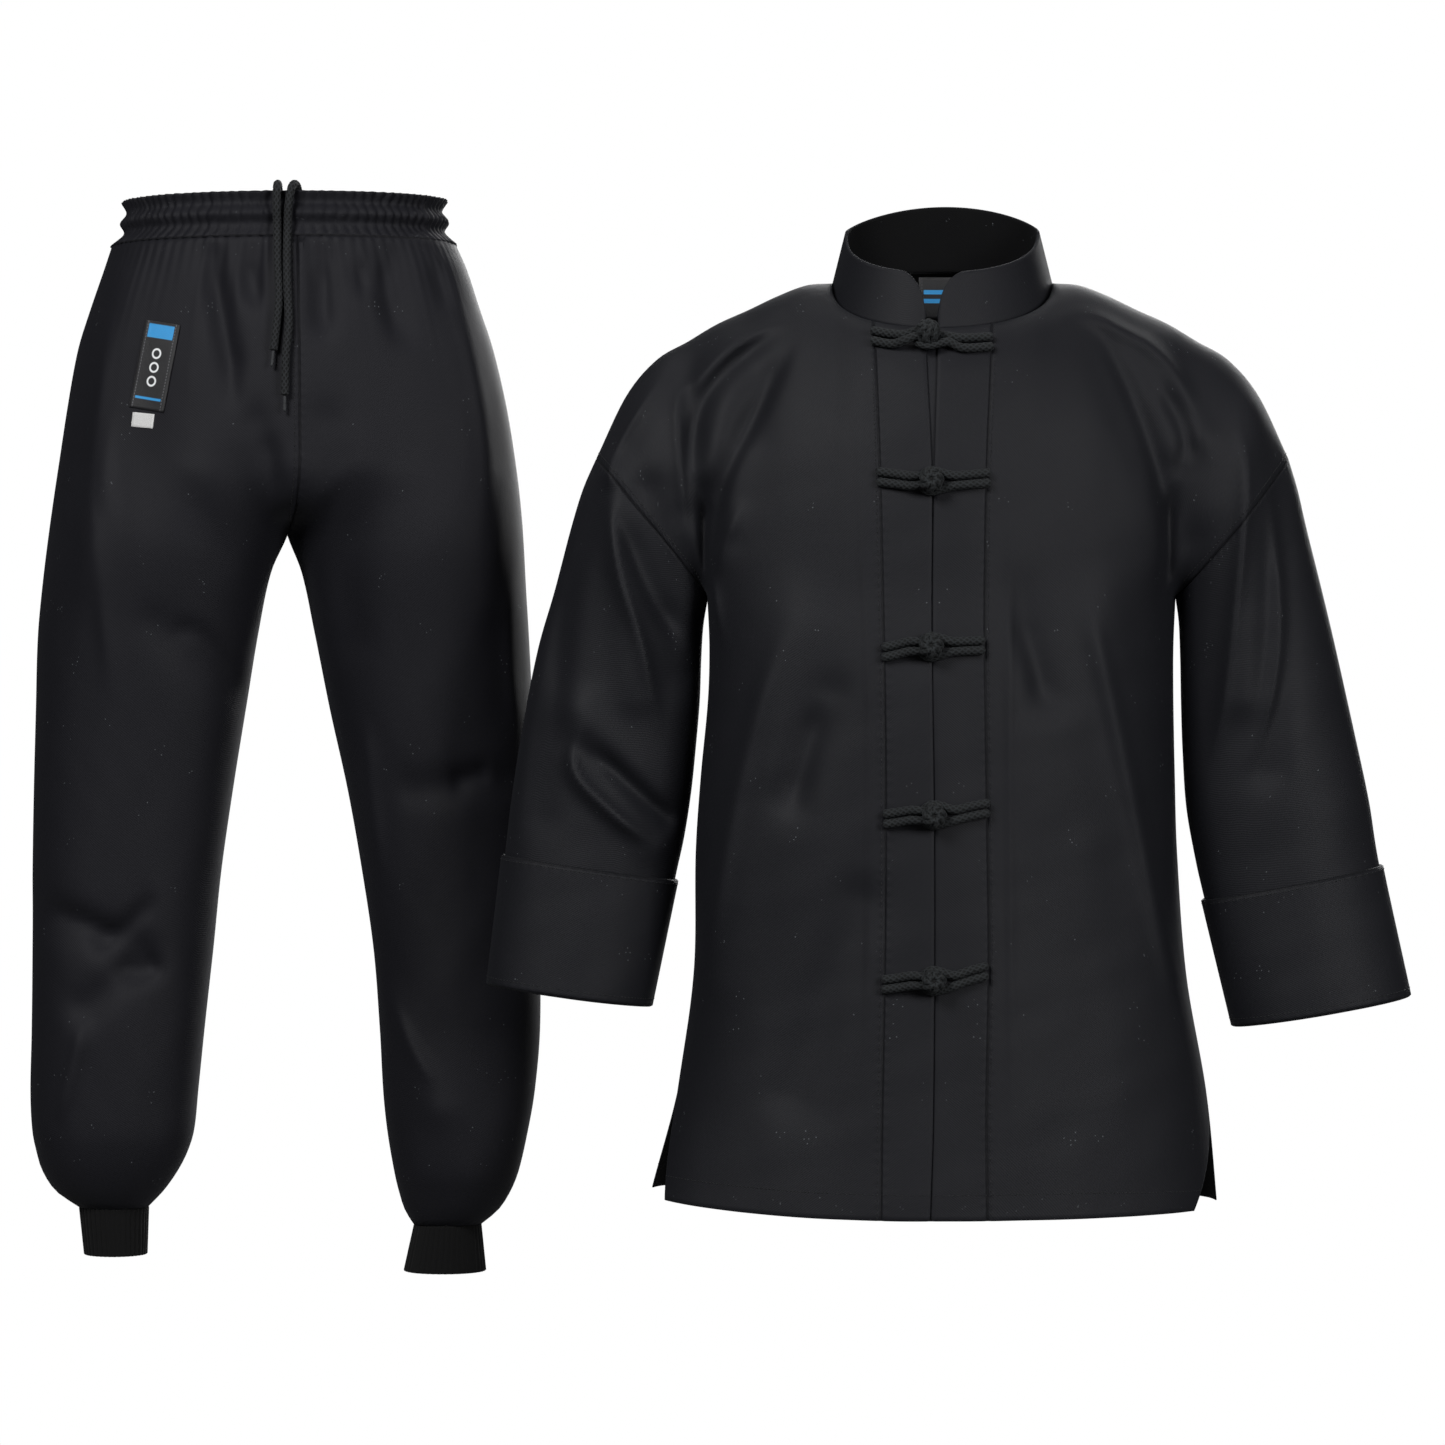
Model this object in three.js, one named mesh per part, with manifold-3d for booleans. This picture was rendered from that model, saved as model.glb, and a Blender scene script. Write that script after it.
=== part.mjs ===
// Tai chi uniform: a black cotton jacket with a stand collar and five knotted frog fasteners, and black
// trousers with a gathered waist, a drawcord and ribbed ankles. Both are filled out with no wearer.
// Millimetres, +Z up, fronts towards -Y. The origin is the middle of the jacket's neck at shoulder level,
// where a wearer holds the jacket up. The trousers stand beside the jacket and a little behind it.
// Right and left are the wearer's, so the right side lies at -X.
import * as THREE from 'three';
import { mergeVertices } from 'three/addons/utils/BufferGeometryUtils.js';
import Module from 'manifold-3d';

const wasm = await Module();
wasm.setup();

const { lerp, clamp } = THREE.MathUtils;
const quarterTurn = Math.PI / 2;

// Cloth walls and the gap that two pieces keep at a seam
const clothWall = 1.5;
const cuffWall = 2.2;
const collarWall = 2.4;
const labelWall = 0.9;
const seamGap = 0.3;
const layerGap = 0.4;

// Jacket trunk: side seams, depth in front and behind, and how far the hem lifts at each side seam
const trunkTurn = 0.087;
const trunkSquareness = 0.8;
const underarmZ = -219;
const trunkSections = [
  { z: underarmZ, left: 163.5, right: -163.5, front: 112, back: 104, liftRight: 0, liftLeft: 0 },
  { z: -255, left: 162, right: -162, front: 116, back: 106, liftRight: 0, liftLeft: 0 },
  { z: -292, left: 162, right: -163, front: 118, back: 106, liftRight: 0, liftLeft: 0 },
  { z: -345, left: 163, right: -168, front: 118, back: 104, liftRight: 0, liftLeft: 0 },
  { z: -397, left: 164.5, right: -171.5, front: 117, back: 104, liftRight: 0, liftLeft: 0 },
  { z: -484, left: 171, right: -173, front: 117, back: 108, liftRight: 2, liftLeft: 0 },
  { z: -566, left: 185, right: -185, front: 120, back: 114, liftRight: 5, liftLeft: 0 },
  { z: -644, left: 193, right: -205, front: 126, back: 120, liftRight: 10, liftLeft: 1 },
];
const hemZ = -644;
const trunkRows = [hemZ, -608, -566, -524, -484, -430, -375, -320, -268, underarmZ];

// Side vents: where each starts, and how far its two edges swing apart at the hem
const ventTopRight = -484;
const ventTopLeft = -566;
const ventSwingFront = 0.4;
const ventSwingBack = 0.06;
const ventBarTack = 0.012;

// Neck and shoulders
const neckAngle = THREE.MathUtils.degToRad(28);
const neckHalfWidth = 77;
const neckSideY = 5;
const neckDepthFront = 74;
const neckDepthBack = 54;
const neckDropFront = 37;
const neckRiseBack = 13;
const neckDropCurve = 0.8;
const shoulderTipOut = 242;
const shoulderTipZ = -123;
const shoulderLine = [
  { out: neckHalfWidth, z: 0 },
  { out: 95, z: -1.5 },
  { out: 115, z: -9 },
  { out: 136, z: -19 },
  { out: 158, z: -29 },
  { out: 178, z: -41 },
  { out: 200, z: -54 },
  { out: 221, z: -79 },
  { out: shoulderTipOut, z: shoulderTipZ },
];
const yokeRound = 2.3;
const yokeSteps = 10;
const shoulderColumns = 7;
const neckColumnsFront = 3;
const neckColumnsBack = 4;
const armholeDepth = 60;
const armholeSpread = 5;

// Front bands: the seam to the front and the free edge of each, at heights down the opening
const bandLines = [
  { z: -34, seamRight: -50, edgeRight: -14.6, edgeLeft: -5.4, seamLeft: 31 },
  { z: -60, seamRight: -49.4, edgeRight: -15, edgeLeft: -7, seamLeft: 30 },
  { z: -137, seamRight: -47, edgeRight: -12, edgeLeft: -9.6, seamLeft: 26 },
  { z: -252, seamRight: -44.6, edgeRight: -12.4, edgeLeft: -11, seamLeft: 24.3 },
  { z: -360, seamRight: -43.4, edgeRight: -11, edgeLeft: -9.6, seamLeft: 25.6 },
  { z: -468, seamRight: -44, edgeRight: -10.6, edgeLeft: -9.2, seamLeft: 27 },
  { z: -576, seamRight: -46, edgeRight: -11.6, edgeLeft: -10.2, seamLeft: 25 },
  { z: hemZ, seamRight: -46.8, edgeRight: -13.8, edgeLeft: -12.4, seamLeft: 25.4 },
];
const underlapRight = 14;
const underlapLeft = 8;
const underlapTop = 0.8;

// Stand collar: heights and how far its top leans in
const collarHeightBack = 45;
const collarHeightSide = 36;
const collarHeightFront = 38;
const collarLeanIn = 9;
const collarLeanFront = 5;
const collarEndRound = 22;
const collarEndLow = 8;
const collarRows = 3;

// Sleeves: rings from the armhole to the cuff's hem, each between an outer and an inner point
const sleeveRings = {
  right: [
    { along: 0, outX: -shoulderTipOut, outZ: shoulderTipZ, inX: -163.5, inZ: underarmZ, depth: armholeDepth },
    { along: 1, outX: -251.5, outZ: -145, inX: -167, inZ: -240, depth: 58 },
    { along: 2, outX: -260, outZ: -173, inX: -168.5, inZ: -264, depth: 56 },
    { along: 3, outX: -271, outZ: -215, inX: -169.5, inZ: -292, depth: 54 },
    { along: 4, outX: -283, outZ: -257, inX: -172, inZ: -322, depth: 52 },
    { along: 5, outX: -294, outZ: -313, inX: -175.5, inZ: -356, depth: 50 },
    { along: 6, outX: -301.5, outZ: -362, inX: -180.5, inZ: -388, depth: 48 },
    { along: 7, outX: -306, outZ: -401, inX: -187, inZ: -418, depth: 47 },
    { along: 8, outX: -316.5, outZ: -490, inX: -205, inZ: -505, depth: 49 },
  ],
  left: [
    { along: 0, outX: shoulderTipOut, outZ: shoulderTipZ, inX: 163.5, inZ: underarmZ, depth: armholeDepth },
    { along: 1, outX: 248.5, outZ: -145, inX: 166, inZ: -238, depth: 58 },
    { along: 2, outX: 255, outZ: -173, inX: 167, inZ: -264, depth: 56 },
    { along: 3, outX: 265.5, outZ: -215, inX: 167.5, inZ: -295, depth: 54 },
    { along: 4, outX: 275.5, outZ: -257, inX: 168.5, inZ: -327, depth: 52 },
    { along: 5, outX: 288, outZ: -313, inX: 171, inZ: -366, depth: 50 },
    { along: 6, outX: 298.5, outZ: -362, inX: 177, inZ: -401, depth: 48 },
    { along: 7, outX: 306, outZ: -408, inX: 184, inZ: -432, depth: 47 },
    { along: 8, outX: 325.5, outZ: -498, inX: 205, inZ: -519, depth: 49 },
  ],
};
const sleeveRows = [0, 0.5, 1.1, 1.9, 2.7, 3.5, 4.3, 5.1, 6, 7, 7.12];
const cuffRows = [7, 7.12, 7.5, 8];
const armholeGap = 0.6;

// Frog fasteners: the middle of each knot, the outer ends of its cords, and how far the knot stands off
const frogs = [
  { x: -13.8, z: -41.5, endRight: -52, endLeft: 31, tiltRight: -1, tiltLeft: -3, lift: 1.4 },
  { x: -11.9, z: -143.5, endRight: -49, endLeft: 28, tiltRight: 0, tiltLeft: 0, lift: 0 },
  { x: -12.6, z: -256, endRight: -46, endLeft: 24, tiltRight: -4, tiltLeft: 1, lift: 0 },
  { x: -10.9, z: -370.4, endRight: -45, endLeft: 27, tiltRight: -3, tiltLeft: 5, lift: 0 },
  { x: -11.2, z: -482.1, endRight: -46, endLeft: 26, tiltRight: -3, tiltLeft: 7, lift: 0 },
];
const knotRadius = 6.8;
const knotHeight = 9.2;
const frogCordRadius = 3;
const frogCordSpread = 3.35;
const frogCordHeight = 3.4;
const frogRunOut = 24;
const frogCordRise = [
  { out: 15.5, height: 5.6, narrow: 1, radius: 3 },
  { out: 9, height: knotHeight, narrow: 0.8, radius: 2.5 },
  { out: 2.5, height: knotHeight, narrow: 0.6, radius: 2.2 },
];
const loopRadius = 7.7;
const loopCordRadius = 2.3;
const loopHeight = 3;
const loopDegrees = [60, 95, 130, 165, 195, 230, 265, 300];
const loopNeck = { out: 14, spread: 3.65, radius: 2.8 };

// Labels
const neckLabel = { x: 4, y: 56, top: 8.5, bottom: -20, width: 36, bow: 1.4 };
const neckLabelColumns = 4;
const trouserLabel = { x: -560, z: -52.5, width: 26, height: 63, lean: 0.185 };
const sizeTab = { x: -568.4, z: -91.4, width: 16, height: 10, lean: 0.12 };
const patchRows = 5;
const patchColumns = 3;

// Trousers: outer and inner edge of each leg, depths about the middle plane, and how far the seam between
// the legs stays forward (1 at the hips, 0 from the crotch down)
const trouserY = 160;
const hipsX = -472;
const crotchZ = -170;
const trouserSquareness = 0.9;
const legSections = {
  right: [
    { z: 41, outer: -600.5, inner: hipsX, front: 84, back: 88, edge: 1, turn: -0.17 },
    { z: 23, outer: -606.5, inner: hipsX, front: 88, back: 92, edge: 1, turn: -0.17 },
    { z: -6, outer: -616.5, inner: hipsX, front: 94, back: 98, edge: 1, turn: -0.17 },
    { z: -35, outer: -625.5, inner: hipsX, front: 99, back: 105, edge: 1, turn: -0.17 },
    { z: -79, outer: -633.5, inner: hipsX, front: 103, back: 112, edge: 1, turn: -0.17 },
    { z: -123, outer: -640, inner: hipsX, front: 105, back: 115, edge: 1, turn: -0.17 },
    { z: -148, outer: -644, inner: hipsX, front: 104, back: 113, edge: 0.86, turn: -0.16 },
    { z: -162, outer: -646, inner: hipsX, front: 101, back: 110, edge: 0.5, turn: -0.15 },
    { z: crotchZ, outer: -647, inner: hipsX, front: 99, back: 108, edge: 0, turn: -0.15 },
    { z: -197, outer: -650.5, inner: -484, front: 92, back: 99, edge: 0, turn: -0.14 },
    { z: -240, outer: -654.7, inner: -493, front: 84, back: 89, edge: 0, turn: -0.12 },
    { z: -298, outer: -656.2, inner: -502.5, front: 77, back: 80, edge: 0, turn: -0.1 },
    { z: -357, outer: -657.6, inner: -512, front: 71, back: 74, edge: 0, turn: -0.08 },
    { z: -416, outer: -658.4, inner: -520.5, front: 67, back: 70, edge: 0, turn: -0.06 },
    { z: -474, outer: -658.4, inner: -526.5, front: 64, back: 67, edge: 0, turn: -0.05 },
    { z: -533, outer: -659, inner: -533, front: 62, back: 64, edge: 0, turn: -0.05 },
    { z: -577, outer: -659.8, inner: -537.5, front: 60, back: 61, edge: 0, turn: -0.04 },
    { z: -606, outer: -658.4, inner: -540.5, front: 58, back: 58, edge: 0, turn: -0.04 },
    { z: -621, outer: -655.4, inner: -545, front: 54, back: 54, edge: 0, turn: -0.03 },
    { z: -635, outer: -651, inner: -552, front: 48, back: 48, edge: 0, turn: -0.02 },
    { z: -650, outer: -641, inner: -562.5, front: 38, back: 38, edge: 0, turn: -0.01 },
    { z: -662, outer: -624, inner: -574, front: 25, back: 25, edge: 0, turn: 0 },
  ],
  left: [
    { z: 41, outer: -349.5, inner: hipsX, front: 84, back: 88, edge: 1, turn: -0.17 },
    { z: 23, outer: -341.5, inner: hipsX, front: 88, back: 92, edge: 1, turn: -0.17 },
    { z: -6, outer: -332, inner: hipsX, front: 94, back: 98, edge: 1, turn: -0.17 },
    { z: -35, outer: -322.4, inner: hipsX, front: 99, back: 105, edge: 1, turn: -0.17 },
    { z: -79, outer: -312, inner: hipsX, front: 103, back: 112, edge: 1, turn: -0.17 },
    { z: -123, outer: -305, inner: hipsX, front: 105, back: 115, edge: 1, turn: -0.17 },
    { z: -148, outer: -302, inner: hipsX, front: 104, back: 113, edge: 0.86, turn: -0.16 },
    { z: -162, outer: -300.7, inner: hipsX, front: 101, back: 110, edge: 0.5, turn: -0.15 },
    { z: crotchZ, outer: -300, inner: hipsX, front: 99, back: 108, edge: 0, turn: -0.15 },
    { z: -197, outer: -299, inner: -461.5, front: 92, back: 99, edge: 0, turn: -0.14 },
    { z: -240, outer: -296, inner: -452.5, front: 84, back: 89, edge: 0, turn: -0.12 },
    { z: -298, outer: -293, inner: -441, front: 77, back: 80, edge: 0, turn: -0.1 },
    { z: -357, outer: -291, inner: -428, front: 71, back: 74, edge: 0, turn: -0.08 },
    { z: -416, outer: -288.7, inner: -417.5, front: 67, back: 70, edge: 0, turn: -0.06 },
    { z: -474, outer: -287.2, inner: -409, front: 64, back: 67, edge: 0, turn: -0.05 },
    { z: -533, outer: -287.2, inner: -404.4, front: 62, back: 64, edge: 0, turn: -0.05 },
    { z: -577, outer: -291, inner: -402, front: 60, back: 61, edge: 0, turn: -0.04 },
    { z: -606, outer: -296, inner: -399, front: 57, back: 57, edge: 0, turn: -0.04 },
    { z: -635, outer: -302.6, inner: -394, front: 51, back: 51, edge: 0, turn: -0.02 },
    { z: -650, outer: -308.5, inner: -390.5, front: 43, back: 43, edge: 0, turn: -0.01 },
    { z: -664, outer: -317.5, inner: -386, front: 34, back: 34, edge: 0, turn: 0 },
    { z: -674, outer: -329.5, inner: -380, front: 25, back: 25, edge: 0, turn: 0 },
  ],
};
const legColumns = 8;
const legRowsShared = [41, 15, -20, -60, -100, -135, -155, crotchZ, -183, -210, -250, -300, -350, -400];
const legRowsLow = {
  right: [-455, -510, -560, -606, -635, -650, -662],
  left: [-455, -510, -560, -606, -642, -662, -674],
};

// Waistband: frill, elastic channel and stitched gathers, with the height of the gathers
const gatherCount = 92;
const gatherUneven = 0.2;
const waistRows = [
  { z: 72.6, outerRight: -591, outerLeft: -357.5, front: 81, back: 85, gather: 2.2 },
  { z: 65, outerRight: -588.5, outerLeft: -360.5, front: 79, back: 83, gather: 1.2 },
  { z: 57.5, outerRight: -592.5, outerLeft: -356.3, front: 84, back: 88, gather: 1.9 },
  { z: 50, outerRight: -590.5, outerLeft: -358.5, front: 81, back: 85, gather: 1.1 },
  { z: 41, outerRight: -600.5, outerLeft: -349.5, front: 84, back: 88, gather: 1.2 },
];

// Ankle ribs: knit ribs raised on a plain tube
const ribCount = 40;
const ribHeight = 0.9;
const ankleRibs = {
  right: [
    { z: -662.3, outer: -623.6, inner: -574.4, depth: 24.6 },
    { z: -696, outer: -620, inner: -575.5, depth: 23 },
  ],
  left: [
    { z: -674.3, outer: -330, inner: -379.5, depth: 24.6 },
    { z: -708, outer: -326.6, inner: -387, depth: 27.5 },
  ],
};

// Drawcord ends: each leaves the channel's inner side, passes over the frill and hangs down in front
const drawcordRadius = 2.9;
const aglet = { radius: 1.2, length: 12 };
const drawcords = {
  right: [
    { x: -472, out: -9, z: 58 },
    { x: -472, out: -9, z: 68 },
    { x: -472, out: -3, z: 77.5 },
    { x: -472, out: 5.5, z: 75 },
    { x: -472, out: 8.5, z: 62 },
    { x: -471.8, out: 5.5, z: 46 },
    { x: -471, out: 4.4, z: 20 },
    { x: -469.5, out: 4.4, z: -4 },
    { x: -471, out: 4.4, z: -25 },
    { x: -472.6, out: 4.4, z: -43 },
  ],
  left: [
    { x: -456, out: -9, z: 58 },
    { x: -457, out: -9, z: 68 },
    { x: -459, out: -3, z: 77.5 },
    { x: -461.5, out: 5.5, z: 75 },
    { x: -463.5, out: 8.5, z: 62 },
    { x: -464.4, out: 5.5, z: 46 },
    { x: -463.6, out: 4.4, z: 20 },
    { x: -463, out: 4.4, z: -4 },
    { x: -462, out: 4.4, z: -25 },
    { x: -464, out: 4.4, z: -48 },
    { x: -464.4, out: 4.4, z: -75 },
  ],
};

// Largest folds: each runs from one point to another; depth is negative for a trough. Jacket fronts and
// sleeve fronts share one table, the jacket's back side has its own, and so have the trousers.
const jacketFrontFolds = [
  { fromX: -150, fromZ: -45, toX: -168, toZ: -150, width: 14, depth: 4 },
  { fromX: -178, fromZ: -60, toX: -176, toZ: -160, width: 12, depth: -5 },
  { fromX: -166, fromZ: -150, toX: -162, toZ: -205, width: 12, depth: -7 },
  { fromX: -140, fromZ: -125, toX: -162, toZ: -230, width: 14, depth: 5 },
  { fromX: -125, fromZ: -70, toX: -150, toZ: -180, width: 13, depth: -4 },
  { fromX: -230, fromZ: -135, toX: -212, toZ: -290, width: 13, depth: 5 },
  { fromX: -205, fromZ: -150, toX: -180, toZ: -270, width: 14, depth: -6 },
  { fromX: -255, fromZ: -300, toX: -200, toZ: -390, width: 16, depth: 6 },
  { fromX: -250, fromZ: -325, toX: -195, toZ: -375, width: 12, depth: -7 },
  { fromX: -275, fromZ: -230, toX: -280, toZ: -370, width: 16, depth: -4 },
  { fromX: 85, fromZ: -15, toX: 165, toZ: -180, width: 14, depth: -4 },
  { fromX: 140, fromZ: -45, toX: 175, toZ: -110, width: 12, depth: 4 },
  { fromX: 163, fromZ: -135, toX: 160, toZ: -210, width: 12, depth: -7 },
  { fromX: 212, fromZ: -90, toX: 205, toZ: -290, width: 14, depth: 5 },
  { fromX: 232, fromZ: -125, toX: 222, toZ: -340, width: 14, depth: -5 },
  { fromX: -105, fromZ: -240, toX: -165, toZ: -480, width: 20, depth: 5 },
  { fromX: -80, fromZ: -290, toX: -105, toZ: -360, width: 16, depth: -4 },
  { fromX: -62, fromZ: -430, toX: -105, toZ: -560, width: 18, depth: -5 },
  { fromX: 105, fromZ: -230, toX: 168, toZ: -530, width: 20, depth: 5 },
  { fromX: 52, fromZ: -225, toX: 68, toZ: -290, width: 15, depth: -4 },
];
const jacketBackFolds = [
  { fromX: -150, fromZ: -110, toX: -120, toZ: -300, width: 18, depth: -6 },
  { fromX: 150, fromZ: -110, toX: 125, toZ: -300, width: 18, depth: -6 },
  { fromX: -60, fromZ: -250, toX: -75, toZ: -600, width: 26, depth: 5 },
  { fromX: 45, fromZ: -300, toX: 70, toZ: -610, width: 24, depth: -5 },
  { fromX: -225, fromZ: -150, toX: -215, toZ: -330, width: 15, depth: -5 },
  { fromX: 225, fromZ: -150, toX: 220, toZ: -340, width: 15, depth: -5 },
];
const trouserFrontFolds = [
  { fromX: -585, fromZ: 10, toX: -610, toZ: -200, width: 16, depth: 5 },
  { fromX: -520, fromZ: 36, toX: -503, toZ: -50, width: 9, depth: -5 },
  { fromX: -492, fromZ: 36, toX: -486, toZ: -5, width: 9, depth: -3 },
  { fromX: -440, fromZ: 36, toX: -438, toZ: -22, width: 11, depth: -4 },
  { fromX: -395, fromZ: 36, toX: -380, toZ: -30, width: 10, depth: -5 },
  { fromX: -345, fromZ: 20, toX: -315, toZ: -220, width: 16, depth: 5 },
  { fromX: -487, fromZ: -95, toX: -478, toZ: -145, width: 12, depth: -5 },
  { fromX: -500, fromZ: -130, toX: -505, toZ: -185, width: 13, depth: -5 },
  { fromX: -433, fromZ: -95, toX: -424, toZ: -245, width: 16, depth: -5 },
  { fromX: -560, fromZ: -235, toX: -505, toZ: -285, width: 14, depth: -5 },
  { fromX: -650, fromZ: -445, toX: -580, toZ: -470, width: 15, depth: -6 },
  { fromX: -570, fromZ: -480, toX: -612, toZ: -512, width: 13, depth: -5 },
  { fromX: -375, fromZ: -355, toX: -315, toZ: -350, width: 13, depth: -4 },
  { fromX: -395, fromZ: -515, toX: -360, toZ: -585, width: 15, depth: 5 },
  { fromX: -620, fromZ: -535, toX: -645, toZ: -600, width: 14, depth: 4 },
];
const trouserBackFolds = [
  { fromX: -560, fromZ: 30, toX: -580, toZ: -120, width: 15, depth: -5 },
  { fromX: -400, fromZ: 30, toX: -380, toZ: -120, width: 15, depth: -5 },
  { fromX: -500, fromZ: -120, toX: -560, toZ: -200, width: 16, depth: -6 },
  { fromX: -445, fromZ: -120, toX: -390, toZ: -200, width: 16, depth: -6 },
  { fromX: -640, fromZ: -330, toX: -560, toZ: -350, width: 15, depth: -6 },
  { fromX: -310, fromZ: -330, toX: -390, toZ: -350, width: 15, depth: -6 },
];
const foldFadeDepth = 30;

// Reads a table at any key, smoothly between its rows
function slopeAt(table, key, column, index) {
  const before = table[Math.max(index - 1, 0)];
  const after = table[Math.min(index + 1, table.length - 1)];
  return (after[column] - before[column]) / (after[key] - before[key]);
}

function smooth(table, key, value) {
  const last = table.length - 1;
  const sense = Math.sign(table[last][key] - table[0][key]);
  let index = 0;
  while (index < last - 1 && (value - table[index + 1][key]) * sense > 0) index += 1;
  const low = table[index];
  const high = table[index + 1];
  const span = high[key] - low[key];
  const f = clamp((value - low[key]) / span, 0, 1);
  const row = {};
  for (const column of Object.keys(low)) {
    const slopeLow = slopeAt(table, key, column, index) * span;
    const slopeHigh = slopeAt(table, key, column, index + 1) * span;
    const change = high[column] - low[column];
    const bend = (slopeLow + slopeHigh - 2 * change) * f ** 3 + (3 * change - 2 * slopeLow - slopeHigh) * f ** 2;
    row[column] = low[column] + slopeLow * f + bend;
  }
  row[key] = value;
  return row;
}

// Height of the folds at a place, from a table of folds
function foldHeight(folds, x, z) {
  let height = 0;
  for (const fold of folds) {
    const runX = fold.toX - fold.fromX;
    const runZ = fold.toZ - fold.fromZ;
    const along = ((x - fold.fromX) * runX + (z - fold.fromZ) * runZ) / (runX ** 2 + runZ ** 2);
    const near = clamp(along, 0, 1);
    const away = Math.hypot(x - fold.fromX - near * runX, z - fold.fromZ - near * runZ);
    height += fold.depth * Math.exp(-((away / fold.width) ** 2));
  }
  return height;
}

// Moves a point out or in by the folds, less where the cloth turns towards its side
function folded(point, middleY, frontFolds, backFolds) {
  const away = point.y - middleY;
  const folds = away < 0 ? frontFolds : backFolds;
  const fade = clamp(Math.abs(away) / foldFadeDepth, 0, 1);
  point.y += Math.sign(away) * fade * foldHeight(folds, point.x, point.z);
  return point;
}

// Jacket surface. face is -1 in front and 1 behind; angle runs from -90 degrees at the right side seam
// to 90 degrees at the left one.
function trunkBase(face, z, angle) {
  const section = smooth(trunkSections, 'z', z);
  const depth = (face < 0 ? section.front : section.back) * Math.max(Math.cos(angle), 0) ** trunkSquareness;
  const middle = (section.left + section.right) / 2;
  const half = (section.left - section.right) / 2;
  const lift = angle < 0 ? section.liftRight : section.liftLeft;
  const y = face * depth;
  const x = middle + half * Math.sin(angle) + trunkTurn * y;
  return new THREE.Vector3(x, y, z + lift * Math.sin(angle) ** 2);
}

// The neckline: across runs from -1 at the right side of the neck to 1 at the left
function neckline(face, across) {
  const reach = Math.max(Math.cos(across * quarterTurn), 0);
  const y = neckSideY + face * (face < 0 ? neckDepthFront : neckDepthBack) * reach;
  const z = face < 0 ? -neckDropFront * reach ** neckDropCurve : neckRiseBack * reach;
  return new THREE.Vector3(neckHalfWidth * Math.sin(across * quarterTurn) + trunkTurn * y, y, z);
}

function yokeTop(face, angle) {
  const spread = Math.abs(angle);
  if (spread <= neckAngle) return neckline(face, angle / neckAngle);
  const along = (spread - neckAngle) / (quarterTurn - neckAngle);
  const out = lerp(neckHalfWidth, shoulderTipOut, along);
  const y = neckSideY * (1 - along);
  return new THREE.Vector3(Math.sign(angle) * out + trunkTurn * y, y, smooth(shoulderLine, 'out', out).z);
}

function yokeBase(face, rise, angle) {
  const base = trunkBase(face, underarmZ, angle);
  const top = yokeTop(face, angle);
  const round = Math.max(1 - rise ** yokeRound, 0) ** (1 / yokeRound);
  const arm = armholeDepth * Math.abs(Math.sin(angle)) ** armholeSpread * 2 * Math.sqrt(rise * (1 - rise));
  const reach = Math.hypot((base.y - top.y) * round, arm);
  return new THREE.Vector3(lerp(base.x, top.x, rise), top.y + face * reach, lerp(base.z, top.z, rise));
}

// A row of the jacket is either a height on the trunk or a rise from the underarm to the shoulder seam
function jacketPoint(face, row, angle) {
  const base = row.rise === undefined ? trunkBase(face, row.z, angle) : yokeBase(face, row.rise, angle);
  return folded(base, 0, jacketFrontFolds, jacketBackFolds);
}

function ringRise(step) {
  return (1 - Math.cos((Math.PI * step) / yokeSteps)) / 2;
}

const jacketRows = trunkRows.map((z) => ({ z }));
for (let step = 1; step <= yokeSteps; step += 1) jacketRows.push({ rise: ringRise(step) });

// The angle at which a row of the front reaches a given x
function frontAngle(row, x) {
  let low = -quarterTurn;
  let high = quarterTurn;
  for (let turn = 0; turn < 30; turn += 1) {
    const middle = (low + high) / 2;
    if (jacketPoint(-1, row, middle).x < x) low = middle;
    else high = middle;
  }
  return (low + high) / 2;
}

function bandAngle(row, line) {
  const z = jacketPoint(-1, row, 0).z;
  return frontAngle(row, smooth(bandLines, 'z', z)[line]);
}

// The row of the front whose middle lies at a given height
function frontRowAt(z) {
  if (z <= underarmZ) return { z };
  let low = 0;
  let high = 1;
  for (let turn = 0; turn < 30; turn += 1) {
    const middle = (low + high) / 2;
    if (jacketPoint(-1, { rise: middle }, 0).z < z) low = middle;
    else high = middle;
  }
  return { rise: (low + high) / 2 };
}

// A grid of points over rows: each row's angles run through its stops, in a number of columns between them
function spacedAngles(stops, counts) {
  const angles = [stops[0]];
  counts.forEach((count, index) => {
    for (let step = 1; step <= count; step += 1) angles.push(lerp(stops[index], stops[index + 1], step / count));
  });
  return angles;
}

function angleGrid(face, rows, anglesOf) {
  return rows.map((row) => anglesOf(row).map((angle) => jacketPoint(face, row, angle)));
}

// Half the width of a vent's opening, as an angle, at a row
function ventOpening(row, ventTop, swing) {
  if (row.z === undefined || row.z >= ventTop) return 0;
  return ventBarTack + swing * ((ventTop - row.z) / (ventTop - hemZ)) ** 1.3;
}

// Sleeve surface: angle runs once round, from the underarm forwards over the outer side
function sleevePoint(side, along, angle) {
  const ring = smooth(sleeveRings[side], 'along', along);
  const across = (1 - Math.cos(angle)) / 2;
  const x = lerp(ring.inX, ring.outX, across);
  const z = lerp(ring.inZ, ring.outZ, across);
  const base = new THREE.Vector3(x, -ring.depth * Math.sin(angle), z);
  return folded(base, 0, jacketFrontFolds, jacketBackFolds);
}

function sleeveGrid(side, rows) {
  return rows.map((along) => {
    const line = [];
    for (let step = 0; step < 2 * yokeSteps; step += 1) {
      line.push(sleevePoint(side, along, (Math.PI * step) / yokeSteps));
    }
    return line;
  });
}

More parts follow.
